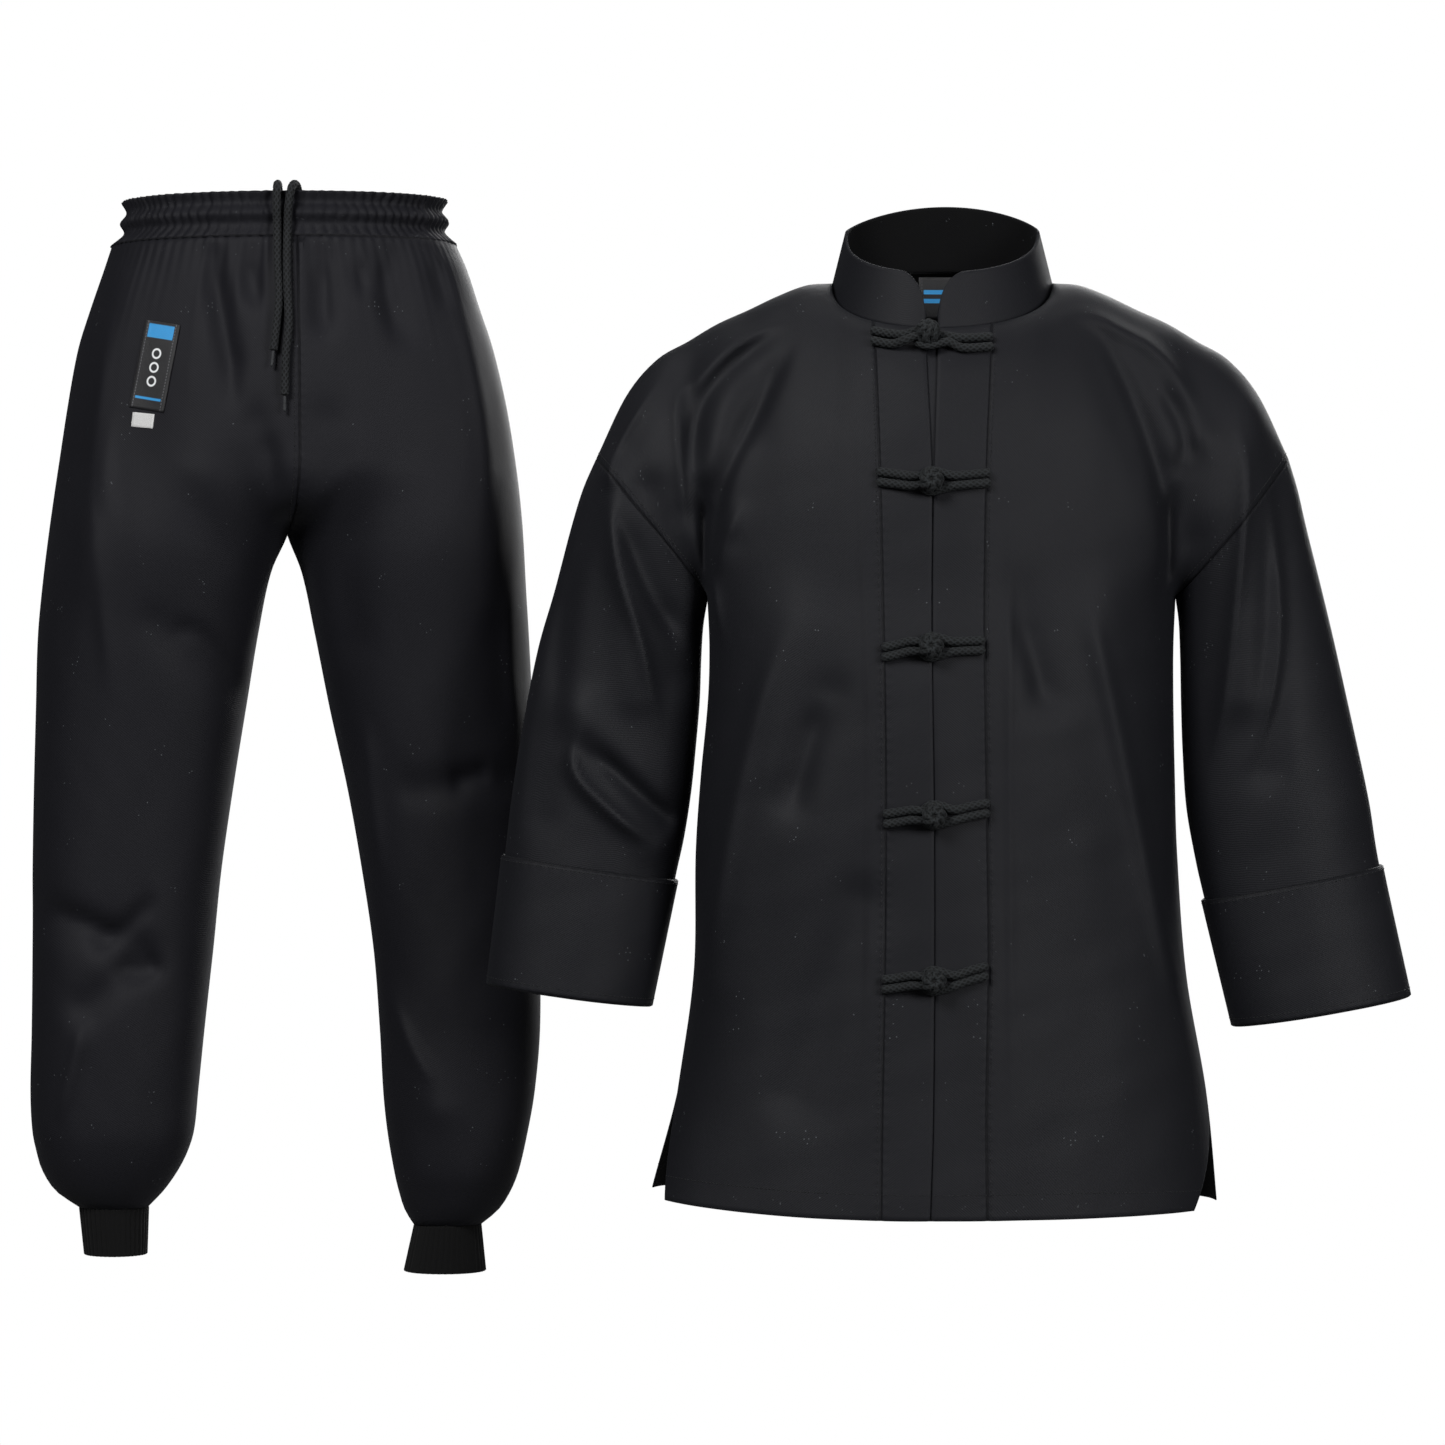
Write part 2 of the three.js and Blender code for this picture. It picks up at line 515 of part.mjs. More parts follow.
// Trouser surface: across runs from 0 at the outer seam to 1 at the inner or middle seam
function trouserPoint(side, face, z, across) {
  const section = smooth(legSections[side], 'z', z);
  if (z >= crotchZ) section.inner = hipsX;
  const edge = clamp(section.edge, 0, 1);
  const endAngle = Math.asin(edge);
  const angle = lerp(Math.PI, endAngle, across);
  const reach = (1 + Math.cos(angle)) / (1 + Math.cos(endAngle));
  const depth = face < 0 ? section.front : section.back;
  const away = face * depth * Math.max(Math.sin(angle), 0) ** trouserSquareness;
  const x = lerp(section.outer, section.inner, reach) + section.turn * away;
  return folded(new THREE.Vector3(x, trouserY + away, z), trouserY, trouserFrontFolds, trouserBackFolds);
}

function trouserGrid(side, face) {
  const rows = [...legRowsShared, ...legRowsLow[side]];
  return rows.map((z) => {
    const line = [];
    for (let column = 0; column <= legColumns; column += 1) {
      line.push(trouserPoint(side, face, z, column / legColumns));
    }
    return line;
  });
}

// Normals of a grid of points, turned away from an inside point
function gridNormals(grid, closed, inside) {
  const rows = grid.length;
  const columns = grid[0].length;
  let outward = 0;
  const normals = grid.map((line, i) => line.map((point, j) => {
    const above = grid[Math.max(i - 1, 0)][j];
    const below = grid[Math.min(i + 1, rows - 1)][j];
    const before = closed ? line[(j + columns - 1) % columns] : line[Math.max(j - 1, 0)];
    const after = closed ? line[(j + 1) % columns] : line[Math.min(j + 1, columns - 1)];
    const across = new THREE.Vector3().subVectors(after, before);
    const down = new THREE.Vector3().subVectors(below, above);
    const normal = across.cross(down).normalize();
    outward += normal.dot(new THREE.Vector3().subVectors(point, inside).normalize());
    return normal;
  }));
  const flip = outward < 0;
  if (flip) normals.flat().forEach((normal) => normal.negate());
  return { normals, flip };
}

function borderOf(grid, closed) {
  const last = grid.length - 1;
  const end = grid[0].length - 1;
  const places = [];
  for (let j = 0; j <= end; j += 1) places.push([0, j], [last, j]);
  if (!closed) for (let i = 1; i < last; i += 1) places.push([i, 0], [i, end]);
  return places;
}

// Where borders of two pieces share a point, both take the same normal, so their walls run side by side
function shareNormals(panels) {
  const places = new Map();
  for (const panel of panels) {
    for (const [i, j] of borderOf(panel.grid, panel.closed)) {
      const point = panel.grid[i][j];
      const key = [point.x, point.y, point.z].map((value) => Math.round(value * 20)).join();
      if (!places.has(key)) places.set(key, []);
      places.get(key).push(panel.normals[i][j]);
    }
  }
  for (const group of places.values()) {
    const mean = new THREE.Vector3();
    group.forEach((normal) => mean.add(normal));
    mean.normalize();
    if (group.every((normal) => normal.dot(mean) > 0.5)) group.forEach((normal) => normal.copy(mean));
  }
}

// Draws the border back by half a seam gap, on the edges that meet another piece
function drawBack(points, closed, edges, gap) {
  const rows = points.length - 1;
  const columns = points[0].length - 1;
  const shift = (edge, inner) => {
    const step = new THREE.Vector3().subVectors(inner, edge);
    edge.addScaledVector(step.normalize(), gap);
  };
  for (let j = 0; j <= columns; j += 1) {
    if (edges.includes('first')) shift(points[0][j], points[1][j]);
    if (edges.includes('last')) shift(points[rows][j], points[rows - 1][j]);
  }
  if (closed) return;
  for (let i = 0; i <= rows; i += 1) {
    if (edges.includes('start')) shift(points[i][0], points[i][1]);
    if (edges.includes('end')) shift(points[i][columns], points[i][columns - 1]);
  }
}

// Closes an outer and an inner grid of points to a wall. The inner grid may use every few columns only.
function wallGeometry(outer, inner, closed, flip, innerEvery = 1) {
  const rows = outer.length;
  const columns = outer[0].length;
  const positions = [];
  const triangles = [];
  outer.flat().forEach((point) => positions.push(point.x, point.y, point.z));
  const innerStart = rows * columns;
  inner.flat().forEach((point) => positions.push(point.x, point.y, point.z));
  const innerColumns = inner[0].length;
  const outerIndex = (i, j) => i * columns + (j % columns);
  const innerIndex = (i, j) => innerStart + i * innerColumns + (Math.floor(j / innerEvery) % innerColumns);
  const add = (a, b, c, reverse) => {
    if (a === b || b === c || a === c) return;
    triangles.push(...(reverse ? [a, c, b] : [a, b, c]));
  };
  const quads = closed ? columns : columns - 1;
  for (let i = 0; i < rows - 1; i += 1) {
    for (let j = 0; j < quads; j += 1) {
      const corners = [[i, j], [i, j + 1], [i + 1, j + 1], [i + 1, j]];
      const out = corners.map(([row, column]) => outerIndex(row, column));
      add(out[0], out[1], out[2], flip);
      add(out[0], out[2], out[3], flip);
      if (j % innerEvery) continue;
      const ins = corners.map(([row, column]) => innerIndex(row, column === j ? j : j + innerEvery));
      add(ins[0], ins[1], ins[2], !flip);
      add(ins[0], ins[2], ins[3], !flip);
    }
  }
  const side = (from, to) => {
    const a = outerIndex(...from);
    const b = outerIndex(...to);
    const c = innerIndex(...from);
    const d = innerIndex(...to);
    add(b, a, c, flip);
    add(b, c, d, flip);
  };
  for (let j = 0; j < quads; j += 1) {
    side([0, j], [0, j + 1]);
    side([rows - 1, j + 1], [rows - 1, j]);
  }
  if (!closed) {
    for (let i = 0; i < rows - 1; i += 1) {
      side([i + 1, 0], [i, 0]);
      side([i, columns - 1], [i + 1, columns - 1]);
    }
  }
  const geometry = new THREE.BufferGeometry();
  geometry.setAttribute('position', new THREE.Float32BufferAttribute(positions, 3));
  geometry.setIndex(triangles);
  geometry.computeVertexNormals();
  return geometry;
}

function moved(grid, normals, distance) {
  return grid.map((line, i) => line.map((point, j) => point.clone().addScaledVector(normals[i][j], distance)));
}

function makePanel(name, grid, wall, inside, options = {}) {
  const { closed = false, edges = [], gap = seamGap / 2, raise = 0, finish = 'cloth' } = options;
  const { normals, flip } = gridNormals(grid, closed, inside);
  return { name, grid, normals, flip, wall, closed, edges, gap, raise, finish };
}

function panelGeometry(panel) {
  const outer = moved(panel.grid, panel.normals, panel.raise);
  const inner = moved(panel.grid, panel.normals, panel.raise - panel.wall);
  drawBack(outer, panel.closed, panel.edges, panel.gap);
  drawBack(inner, panel.closed, panel.edges, panel.gap);
  return wallGeometry(outer, inner, panel.closed, panel.flip);
}

// A closed tube along a smooth curve through points, with a radius at each point
function cordGeometry(points, radii, sides, steps) {
  const curve = new THREE.CatmullRomCurve3(points, false, 'centripetal');
  const frames = curve.computeFrenetFrames(steps, false);
  const positions = [];
  const triangles = [];
  for (let step = 0; step <= steps; step += 1) {
    const place = (step / steps) * (points.length - 1);
    const index = Math.min(Math.floor(place), points.length - 2);
    const middle = curve.getPoint(step / steps);
    const radius = lerp(radii[index], radii[index + 1], place - index);
    for (let side = 0; side < sides; side += 1) {
      const angle = (2 * Math.PI * side) / sides;
      const spot = middle.clone();
      spot.addScaledVector(frames.normals[step], radius * Math.cos(angle));
      spot.addScaledVector(frames.binormals[step], radius * Math.sin(angle));
      positions.push(spot.x, spot.y, spot.z);
    }
  }
  const index = (step, side) => step * sides + (side % sides);
  for (let step = 0; step < steps; step += 1) {
    for (let side = 0; side < sides; side += 1) {
      const corners = [index(step, side), index(step, side + 1), index(step + 1, side + 1), index(step + 1, side)];
      triangles.push(corners[0], corners[1], corners[2], corners[0], corners[2], corners[3]);
    }
  }
  for (let side = 1; side < sides - 1; side += 1) {
    triangles.push(index(0, 0), index(0, side + 1), index(0, side));
    triangles.push(index(steps, 0), index(steps, side), index(steps, side + 1));
  }
  const geometry = new THREE.BufferGeometry();
  geometry.setAttribute('position', new THREE.Float32BufferAttribute(positions, 3));
  geometry.setIndex(triangles);
  return geometry;
}

// Joins closed shapes to one solid
function joined(geometries) {
  const solids = geometries.map((geometry) => {
    const plain = geometry.clone();
    plain.deleteAttribute('normal');
    plain.deleteAttribute('uv');
    const merged = mergeVertices(plain, 1e-4);
    const vertProperties = new Float32Array(merged.getAttribute('position').array);
    const triVerts = new Uint32Array(merged.getIndex().array);
    return new wasm.Manifold(new wasm.Mesh({ numProp: 3, vertProperties, triVerts }));
  });
  const whole = solids.reduce((sum, solid) => sum.add(solid)).getMesh();
  const geometry = new THREE.BufferGeometry();
  geometry.setAttribute('position', new THREE.BufferAttribute(whole.vertProperties, 3));
  geometry.setIndex(new THREE.BufferAttribute(whole.triVerts, 1));
  geometry.computeVertexNormals();
  return geometry;
}

const colours = {
  cloth: { color: 0x1c1d20, roughness: 0.85, metalness: 0 },
  cord: { color: 0x23262a, roughness: 0.8, metalness: 0 },
  rib: { color: 0x141416, roughness: 0.95, metalness: 0 },
  label: { color: 0x101012, roughness: 0.6, metalness: 0 },
  tab: { color: 0xe8e8e6, roughness: 0.7, metalness: 0 },
  aglet: { color: 0x1a1a1c, roughness: 0.35, metalness: 0 },
};
const uniform = new THREE.Group();

function addPiece(name, geometry, finish) {
  const material = new THREE.MeshStandardMaterial({ ...colours[finish], side: THREE.DoubleSide });
  const mesh = new THREE.Mesh(geometry, material);
  mesh.name = name;
  uniform.add(mesh);
}

// Jacket panels
const chest = new THREE.Vector3(0, 0, -300);
const sides = ['right', 'left'];
const sideSign = { right: -1, left: 1 };
const sideLabel = { right: 'Right', left: 'Left' };
const ventTops = { right: ventTopRight, left: ventTopLeft };
const seams = ['start', 'end', 'last'];

function frontAngles(side, row) {
  const sign = sideSign[side];
  const edge = sign * (quarterTurn - ventOpening(row, ventTops[side], ventSwingFront));
  const seam = bandAngle(row, `seam${sideLabel[side]}`);
  return spacedAngles([edge, sign * neckAngle, seam], [shoulderColumns, neckColumnsFront]);
}

function bandAngles(side, row) {
  const seam = bandAngle(row, `seam${sideLabel[side]}`);
  return spacedAngles([seam, bandAngle(row, `edge${sideLabel[side]}`)], [2]);
}

function backAngles(row) {
  const right = -quarterTurn + ventOpening(row, ventTopRight, ventSwingBack);
  const left = quarterTurn - ventOpening(row, ventTopLeft, ventSwingBack);
  const stops = [right, -neckAngle, neckAngle, left];
  return spacedAngles(stops, [shoulderColumns, neckColumnsBack, shoulderColumns]);
}

function jacketPanels() {
  const panels = [];
  for (const side of sides) {
    const front = angleGrid(-1, jacketRows, (row) => frontAngles(side, row));
    const band = angleGrid(-1, jacketRows, (row) => bandAngles(side, row));
    panels.push(makePanel(`jacket_front_${side}`, front, clothWall, chest, { edges: seams }));
    panels.push(makePanel(`front_band_${side}`, band, clothWall, chest, { edges: ['start', 'last'] }));
  }
  const back = angleGrid(1, jacketRows, backAngles);
  panels.push(makePanel('jacket_back', back, clothWall, chest, { edges: seams }));
  for (const side of sides) {
    const ring = smooth(sleeveRings[side], 'along', 4);
    const inside = new THREE.Vector3((ring.inX + ring.outX) / 2, 0, (ring.inZ + ring.outZ) / 2);
    const sleeve = sleeveGrid(side, sleeveRows);
    const cuff = sleeveGrid(side, cuffRows);
    const options = { closed: true, edges: ['first'], gap: armholeGap };
    panels.push(makePanel(`sleeve_${side}`, sleeve, clothWall, inside, options));
    const cuffRaise = cuffWall + layerGap;
    panels.push(makePanel(`sleeve_cuff_${side}`, cuff, cuffWall, inside, { closed: true, raise: cuffRaise }));
  }
  return panels;
}

// The flap behind the front opening
function underlapPanel() {
  const rows = jacketRows.filter((row) => row.rise === undefined || row.rise < underlapTop);
  const right = (row) => {
    const z = jacketPoint(-1, row, 0).z;
    return frontAngle(row, smooth(bandLines, 'z', z).edgeRight - underlapRight);
  };
  const left = (row) => {
    const z = jacketPoint(-1, row, 0).z;
    return frontAngle(row, smooth(bandLines, 'z', z).edgeLeft + underlapLeft);
  };
  const grid = angleGrid(-1, rows, (row) => spacedAngles([right(row), left(row)], [3]));
  return makePanel('front_underlap', grid, clothWall, chest, { raise: -clothWall - layerGap });
}

// Stand collar: it stands on the points of the neckline, from its right front end round behind the neck to
// its left front end, and each front end is rounded off
function necklineFeet() {
  const top = { rise: 1 };
  const onNeck = (angle) => Math.abs(angle) < neckAngle + 1e-6;
  const feet = [];
  const add = (face, angles) => {
    for (const angle of angles.filter(onNeck)) feet.push({ face, across: angle / neckAngle });
  };
  add(-1, bandAngles('right', top).reverse());
  add(-1, frontAngles('right', top).reverse().slice(1));
  add(1, backAngles(top).filter(onNeck).slice(1));
  add(-1, frontAngles('left', top).filter(onNeck).slice(1));
  add(-1, bandAngles('left', top).slice(1));
  return feet.map((foot) => ({ ...foot, point: neckline(foot.face, foot.across) }));
}

function collarGrid() {
  const feet = [];
  let length = 0;
  necklineFeet().forEach((foot, index, all) => {
    if (index) {
      const before = all[index - 1];
      const middle = before.point.clone().lerp(foot.point, 0.5);
      const half = middle.distanceTo(foot.point);
      const face = before.face === foot.face ? foot.face : 0;
      feet.push({ face, across: (before.across + foot.across) / 2, point: middle, length: length + half });
      length += 2 * half;
    }
    feet.push({ ...foot, length });
  });
  const grid = [];
  for (let row = 0; row <= collarRows; row += 1) {
    const up = 1 - row / collarRows;
    grid.push(feet.map((foot) => {
      const forward = foot.face * Math.cos(foot.across * quarterTurn);
      const tall = lerp(collarHeightSide, forward < 0 ? collarHeightFront : collarHeightBack, forward ** 2);
      const fromEnd = Math.min(foot.length, length - foot.length);
      const short = clamp(1 - fromEnd / collarEndRound, 0, 1);
      const rise = up * (collarEndLow + (tall - collarEndLow) * Math.sqrt(1 - short ** 2));
      const lean = rise / tall;
      const x = foot.point.x - collarLeanIn * lean * Math.sin(foot.across * quarterTurn);
      const y = foot.point.y - collarLeanFront * lean * Math.min(forward, 0);
      return new THREE.Vector3(x, y, foot.point.z + seamGap + rise);
    }));
  }
  return grid;
}

const jacket = jacketPanels();
shareNormals(jacket);
jacket.push(underlapPanel(), makePanel('collar', collarGrid(), collarWall, new THREE.Vector3(0, 0, 10)));
jacket.forEach((panel) => addPiece(panel.name, panelGeometry(panel), panel.finish));

// A point on the jacket's front with its outward direction
function frontPlace(x, z) {
  const row = frontRowAt(z);
  const rowBeside = frontRowAt(z + 1);
  const angle = frontAngle(row, x);
  const point = jacketPoint(-1, row, angle);
  const beside = jacketPoint(-1, row, frontAngle(row, x + 1)).sub(point);
  const above = jacketPoint(-1, rowBeside, frontAngle(rowBeside, x)).sub(point);
  return { point, out: beside.cross(above).normalize() };
}

function onFront(x, z, height) {
  const { point, out } = frontPlace(x, z);
  return point.clone().addScaledVector(out, height);
}

// Frog fasteners: each knot stands on a small plane square to the front at its place
frogs.forEach((frog, order) => {
  const { out } = frontPlace(frog.x, frog.z);
  const baseZ = frog.z - out.z * (knotHeight + frog.lift);
  const base = onFront(frog.x, baseZ, frog.lift);
  const beside = new THREE.Vector3(1, 0, 0).addScaledVector(out, -out.x).normalize();
  const above = new THREE.Vector3().crossVectors(beside, out).negate();
  const onPlane = (across, up, height) => base.clone()
    .addScaledVector(beside, across).addScaledVector(above, up).addScaledVector(out, height);
  const cords = [];
  for (const spread of [-frogCordSpread, frogCordSpread]) {
    const path = [
      onFront(frog.endRight, baseZ + frog.tiltRight + spread, frogCordHeight),
      onFront(frog.x - frogRunOut, baseZ + frog.tiltRight / 2 + spread, frogCordHeight),
      ...frogCordRise.map((place) => onPlane(-place.out, spread * place.narrow, place.height)),
    ];
    const radii = [frogCordRadius, frogCordRadius, ...frogCordRise.map((place) => place.radius)];
    cords.push(cordGeometry(path, radii, 6, 6));
  }
  const ball = new THREE.SphereGeometry(knotRadius, 10, 7);
  ball.rotateX(quarterTurn);
  const middle = onPlane(0, 0, knotHeight);
  ball.translate(middle.x, middle.y, middle.z);
  addPiece(`frog_${order + 1}_knot`, joined([ball, ...cords]), 'cord');
  const run = (sign) => {
    const spread = sign * frogCordSpread;
    const end = onFront(frog.endLeft, baseZ + frog.tiltLeft + spread, frogCordHeight);
    const half = onFront(frog.x + frogRunOut, baseZ + frog.tiltLeft / 2 + spread, frogCordHeight);
    const neck = onPlane(loopNeck.out, sign * loopNeck.spread, frogCordHeight);
    return [
      { point: end, radius: frogCordRadius },
      { point: half, radius: frogCordRadius },
      { point: neck, radius: loopNeck.radius },
    ];
  };
  const loop = loopDegrees.map((degrees) => {
    const angle = THREE.MathUtils.degToRad(degrees);
    const point = onPlane(loopRadius * Math.cos(angle), loopRadius * Math.sin(angle), loopHeight);
    return { point, radius: loopCordRadius };
  });
  const whole = [...run(1), ...loop, ...run(-1).reverse()];
  const points = whole.map((place) => place.point);
  const radii = whole.map((place) => place.radius);
  addPiece(`frog_${order + 1}_loop`, cordGeometry(points, radii, 6, 24), 'cord');
});

// Label inside the back neck: it hangs from the collar seam
function neckLabelPanel() {
  const grid = [];
  for (const z of [neckLabel.top, (neckLabel.top + neckLabel.bottom) / 2, neckLabel.bottom]) {
    const line = [];
    for (let column = 0; column <= neckLabelColumns; column += 1) {
      const across = (2 * column) / neckLabelColumns - 1;
      const y = neckLabel.y - neckLabel.bow * across ** 2;
      line.push(new THREE.Vector3(neckLabel.x + (neckLabel.width / 2) * across, y, z));
    }
    grid.push(line);
  }
  return makePanel('neck_label', grid, labelWall, chest, { finish: 'label' });
}
const neckLabelPiece = neckLabelPanel();
addPiece(neckLabelPiece.name, panelGeometry(neckLabelPiece), neckLabelPiece.finish);

// Trousers
const hips = new THREE.Vector3(hipsX, trouserY, -60);
const trousers = [];
for (const side of sides) {
  const middle = smooth(legSections[side], 'z', -357);
  const inside = new THREE.Vector3((middle.outer + middle.inner) / 2, trouserY, -300);
  for (const [face, place] of [[-1, 'front'], [1, 'back']]) {
    const grid = trouserGrid(side, face);
    const options = { edges: ['first', 'last', 'start', 'end'] };
    trousers.push(makePanel(`trouser_${place}_${side}`, grid, clothWall, inside, options));
  }
}
shareNormals(trousers);
trousers.forEach((panel) => addPiece(panel.name, panelGeometry(panel), panel.finish));

// A tube whose outer points rise and fall in turn over a plain inside
function pleatedTube(rings, count, pointAt, heightAt, inside) {
  const innerEvery = 4;
  const plain = rings.map((ring) => {
    const line = [];
    for (let step = 0; step < 2 * count; step += 1) line.push(pointAt(ring, (Math.PI * step) / count));
    return line;
  });
  const { normals, flip } = gridNormals(plain, true, inside);
  normals.flat().forEach((normal) => normal.setZ(0).normalize());
  const outer = plain.map((line, i) => line.map((point, j) => {
    const height = j % 2 ? heightAt(rings[i], j) : 0;
    return point.clone().addScaledVector(normals[i][j], height);
  }));
  const inner = moved(plain, normals, -clothWall).map((line) => line.filter((point, j) => j % innerEvery === 0));
  return wallGeometry(outer, inner, true, flip, innerEvery);
}

function waistPoint(ring, angle) {
  const middle = (ring.outerRight + ring.outerLeft) / 2;
  const half = (ring.outerLeft - ring.outerRight) / 2;
  const bulge = Math.sign(Math.sin(angle)) * Math.abs(Math.sin(angle)) ** trouserSquareness;
  const away = -bulge * (bulge > 0 ? ring.front : ring.back);
  const turn = legSections.right[0].turn;
  return new THREE.Vector3(middle - half * Math.cos(angle) + turn * away, trouserY + away, ring.z);
}

// Uneven gathers: their height swells and sinks a little round the waist
function gatherHeight(ring, step) {
  return ring.gather * (1 - gatherUneven + gatherUneven * Math.sin(step * 1.7) * Math.cos(step * 0.37));
}
const waistRings = waistRows.map((ring, index) => {
  const lowest = index === waistRows.length - 1;
  return lowest ? { ...ring, z: ring.z + seamGap / 2 } : ring;
});
addPiece('waistband', pleatedTube(waistRings, gatherCount, waistPoint, gatherHeight, hips), 'cloth');

function ribPoint(ring, angle) {
  const middle = (ring.outer + ring.inner) / 2;
  const half = (ring.inner - ring.outer) / 2;
  return new THREE.Vector3(middle + half * Math.cos(angle), trouserY + ring.depth * Math.sin(angle), ring.z);
}
for (const side of sides) {
  const rings = ankleRibs[side];
  const inside = new THREE.Vector3((rings[1].outer + rings[1].inner) / 2, trouserY, rings[1].z);
  addPiece(`ankle_rib_${side}`, pleatedTube(rings, ribCount, ribPoint, () => ribHeight, inside), 'rib');
}

// A point on the trousers' front at a place, moved out
function frontOfTrousers(x, z) {
  const side = x < trouserPoint('right', -1, z, 1).x ? 'right' : 'left';
  const sign = sideSign[side];
  let low = 0;
  let high = 1;
  for (let turn = 0; turn < 30; turn += 1) {
    const middle = (low + high) / 2;
    if (sign * (trouserPoint(side, -1, z, middle).x - x) > 0) low = middle;
    else high = middle;
  }
  return trouserPoint(side, -1, z, (low + high) / 2);
}

function onTrousers(x, z, height) {
  const point = frontOfTrousers(x, z);
  const beside = frontOfTrousers(x + 1, z).sub(point);
  const above = frontOfTrousers(x, z + 1).sub(point);
  return point.clone().addScaledVector(beside.cross(above).normalize(), height);
}

// Labels sewn on the trousers' right front
function trouserPatch(name, patch, raise, finish) {
  const grid = [];
  for (let row = 0; row <= patchRows; row += 1) {
    const line = [];
    for (let column = 0; column <= patchColumns; column += 1) {
      const across = patch.width * (column / patchColumns - 0.5);
      const up = patch.height * (0.5 - row / patchRows);
      const x = patch.x + across * Math.cos(patch.lean) + up * Math.sin(patch.lean);
      const z = patch.z - across * Math.sin(patch.lean) + up * Math.cos(patch.lean);
      line.push(onTrousers(x, z, raise));
    }
    grid.push(line);
  }
  const panel = makePanel(name, grid, labelWall, hips, { finish });
  addPiece(panel.name, panelGeometry(panel), panel.finish);
}
trouserPatch('trouser_label', trouserLabel, labelWall + layerGap, 'label');
trouserPatch('size_tab', sizeTab, labelWall + layerGap, 'tab');

// Drawcord ends and their aglets: beside the waistband a cord's places are measured from it, and below it
// from the trousers' front
const waistTop = waistRows[0].z;
const waistBottom = waistRows[waistRows.length - 1].z;

function cordPlace(place) {
  if (place.z < waistBottom) return onTrousers(place.x, place.z, place.out);
  const beside = smooth(waistRows, 'z', Math.min(place.z, waistTop));
  const surface = waistPoint(beside, quarterTurn);
  return new THREE.Vector3(place.x, surface.y - place.out, place.z);
}
for (const side of sides) {
  const points = drawcords[side].map(cordPlace);
  const radii = points.map(() => drawcordRadius);
  addPiece(`drawcord_${side}`, cordGeometry(points, radii, 8, 20), 'cord');
  const end = points[points.length - 1];
  const before = points[points.length - 2];
  const along = new THREE.Vector3().subVectors(end, before).normalize();
  const start = end.clone().addScaledVector(along, seamGap);
  const tip = end.clone().addScaledVector(along, aglet.length + seamGap);
  const middle = start.clone().lerp(tip, 0.5);
  const shape = cordGeometry([start, middle, tip], [aglet.radius, aglet.radius, aglet.radius], 8, 2);
  addPiece(`aglet_${side}`, shape, 'aglet');
}

export default uniform;
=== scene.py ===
# Tai chi uniform: black jacket with knotted frog fasteners beside black trousers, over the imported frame
import math

import bpy
import numpy as np
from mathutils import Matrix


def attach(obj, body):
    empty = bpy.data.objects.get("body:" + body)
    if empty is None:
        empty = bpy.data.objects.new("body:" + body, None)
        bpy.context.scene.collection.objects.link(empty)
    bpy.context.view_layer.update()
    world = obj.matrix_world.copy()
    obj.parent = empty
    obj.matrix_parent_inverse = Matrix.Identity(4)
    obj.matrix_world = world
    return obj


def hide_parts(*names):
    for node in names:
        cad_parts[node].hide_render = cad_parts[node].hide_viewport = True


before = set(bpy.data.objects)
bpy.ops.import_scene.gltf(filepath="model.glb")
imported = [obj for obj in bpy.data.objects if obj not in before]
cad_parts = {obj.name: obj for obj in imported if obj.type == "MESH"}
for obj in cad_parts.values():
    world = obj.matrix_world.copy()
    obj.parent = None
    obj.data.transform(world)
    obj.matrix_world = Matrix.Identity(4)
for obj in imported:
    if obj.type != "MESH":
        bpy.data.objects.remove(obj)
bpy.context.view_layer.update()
bpy.ops.object.select_all(action="DESELECT")

millimetre = 0.001
quarterTurn = math.pi / 2
fullTurn = 2 * math.pi
sides = {"right": -1, "left": 1}  # the wearer's right lies at -X

# Camera, at the photo's angle
camera = {"place": (-0.15365, -3.5, -0.30765), "lens": 124.57, "sensor": 36}


def makeCamera():
    data = bpy.data.cameras.new("camera")
    data.sensor_width = camera["sensor"]
    data.lens = camera["lens"]
    eye = bpy.data.objects.new("camera", data)
    eye.location = camera["place"]
    eye.rotation_euler = (quarterTurn, 0, 0)
    bpy.context.scene.collection.objects.link(eye)
    bpy.context.scene.camera = eye


makeCamera()


# Tables with named columns, read smoothly between their rows
def table(names, *rows):
    return dict(zip(names.split(), np.array(rows, float).T))


def read(rows, key, value):
    keys = rows[key]
    if keys[0] > keys[-1]:
        rows = {name: column[::-1] for name, column in rows.items()}
        keys = rows[key]
    value = np.asarray(value, float)
    low = np.clip(np.searchsorted(keys, value) - 1, 0, len(keys) - 2)
    span = keys[low + 1] - keys[low]
    f = np.clip((value - keys[low]) / span, 0, 1)
    found = {}
    for name, column in rows.items():
        step = np.diff(column) / np.diff(keys)
        slope = np.concatenate([step[:1], (column[2:] - column[:-2]) / (keys[2:] - keys[:-2]), step[-1:]])
        start = slope[low] * span
        end = slope[low + 1] * span
        change = column[low + 1] - column[low]
        bend = (start + end - 2 * change) * f**3 + (3 * change - 2 * start - end) * f**2
        found[name] = column[low] + start * f + bend
    found[key] = value
    return found


def lerp(a, b, f):
    return a + (b - a) * f


def smoothStep(low, high, value):
    f = np.clip((value - low) / (high - low), 0, 1)
    return f * f * (3 - 2 * f)


def point(x, y, z):
    return np.stack(np.broadcast_arrays(x, y, z), -1).astype(float)


def unit(vectors):
    return vectors / np.maximum(np.linalg.norm(vectors, axis=-1, keepdims=True), 1e-9)


def circle(count):
    return fullTurn * np.arange(count) / count


def runLength(line):
    return np.concatenate([[0], np.cumsum(np.linalg.norm(np.diff(line, axis=0), axis=1))])


def pointsAt(spots, away, line):
    return np.stack([np.interp(spots, away, line[:, axis]) for axis in range(3)], -1)


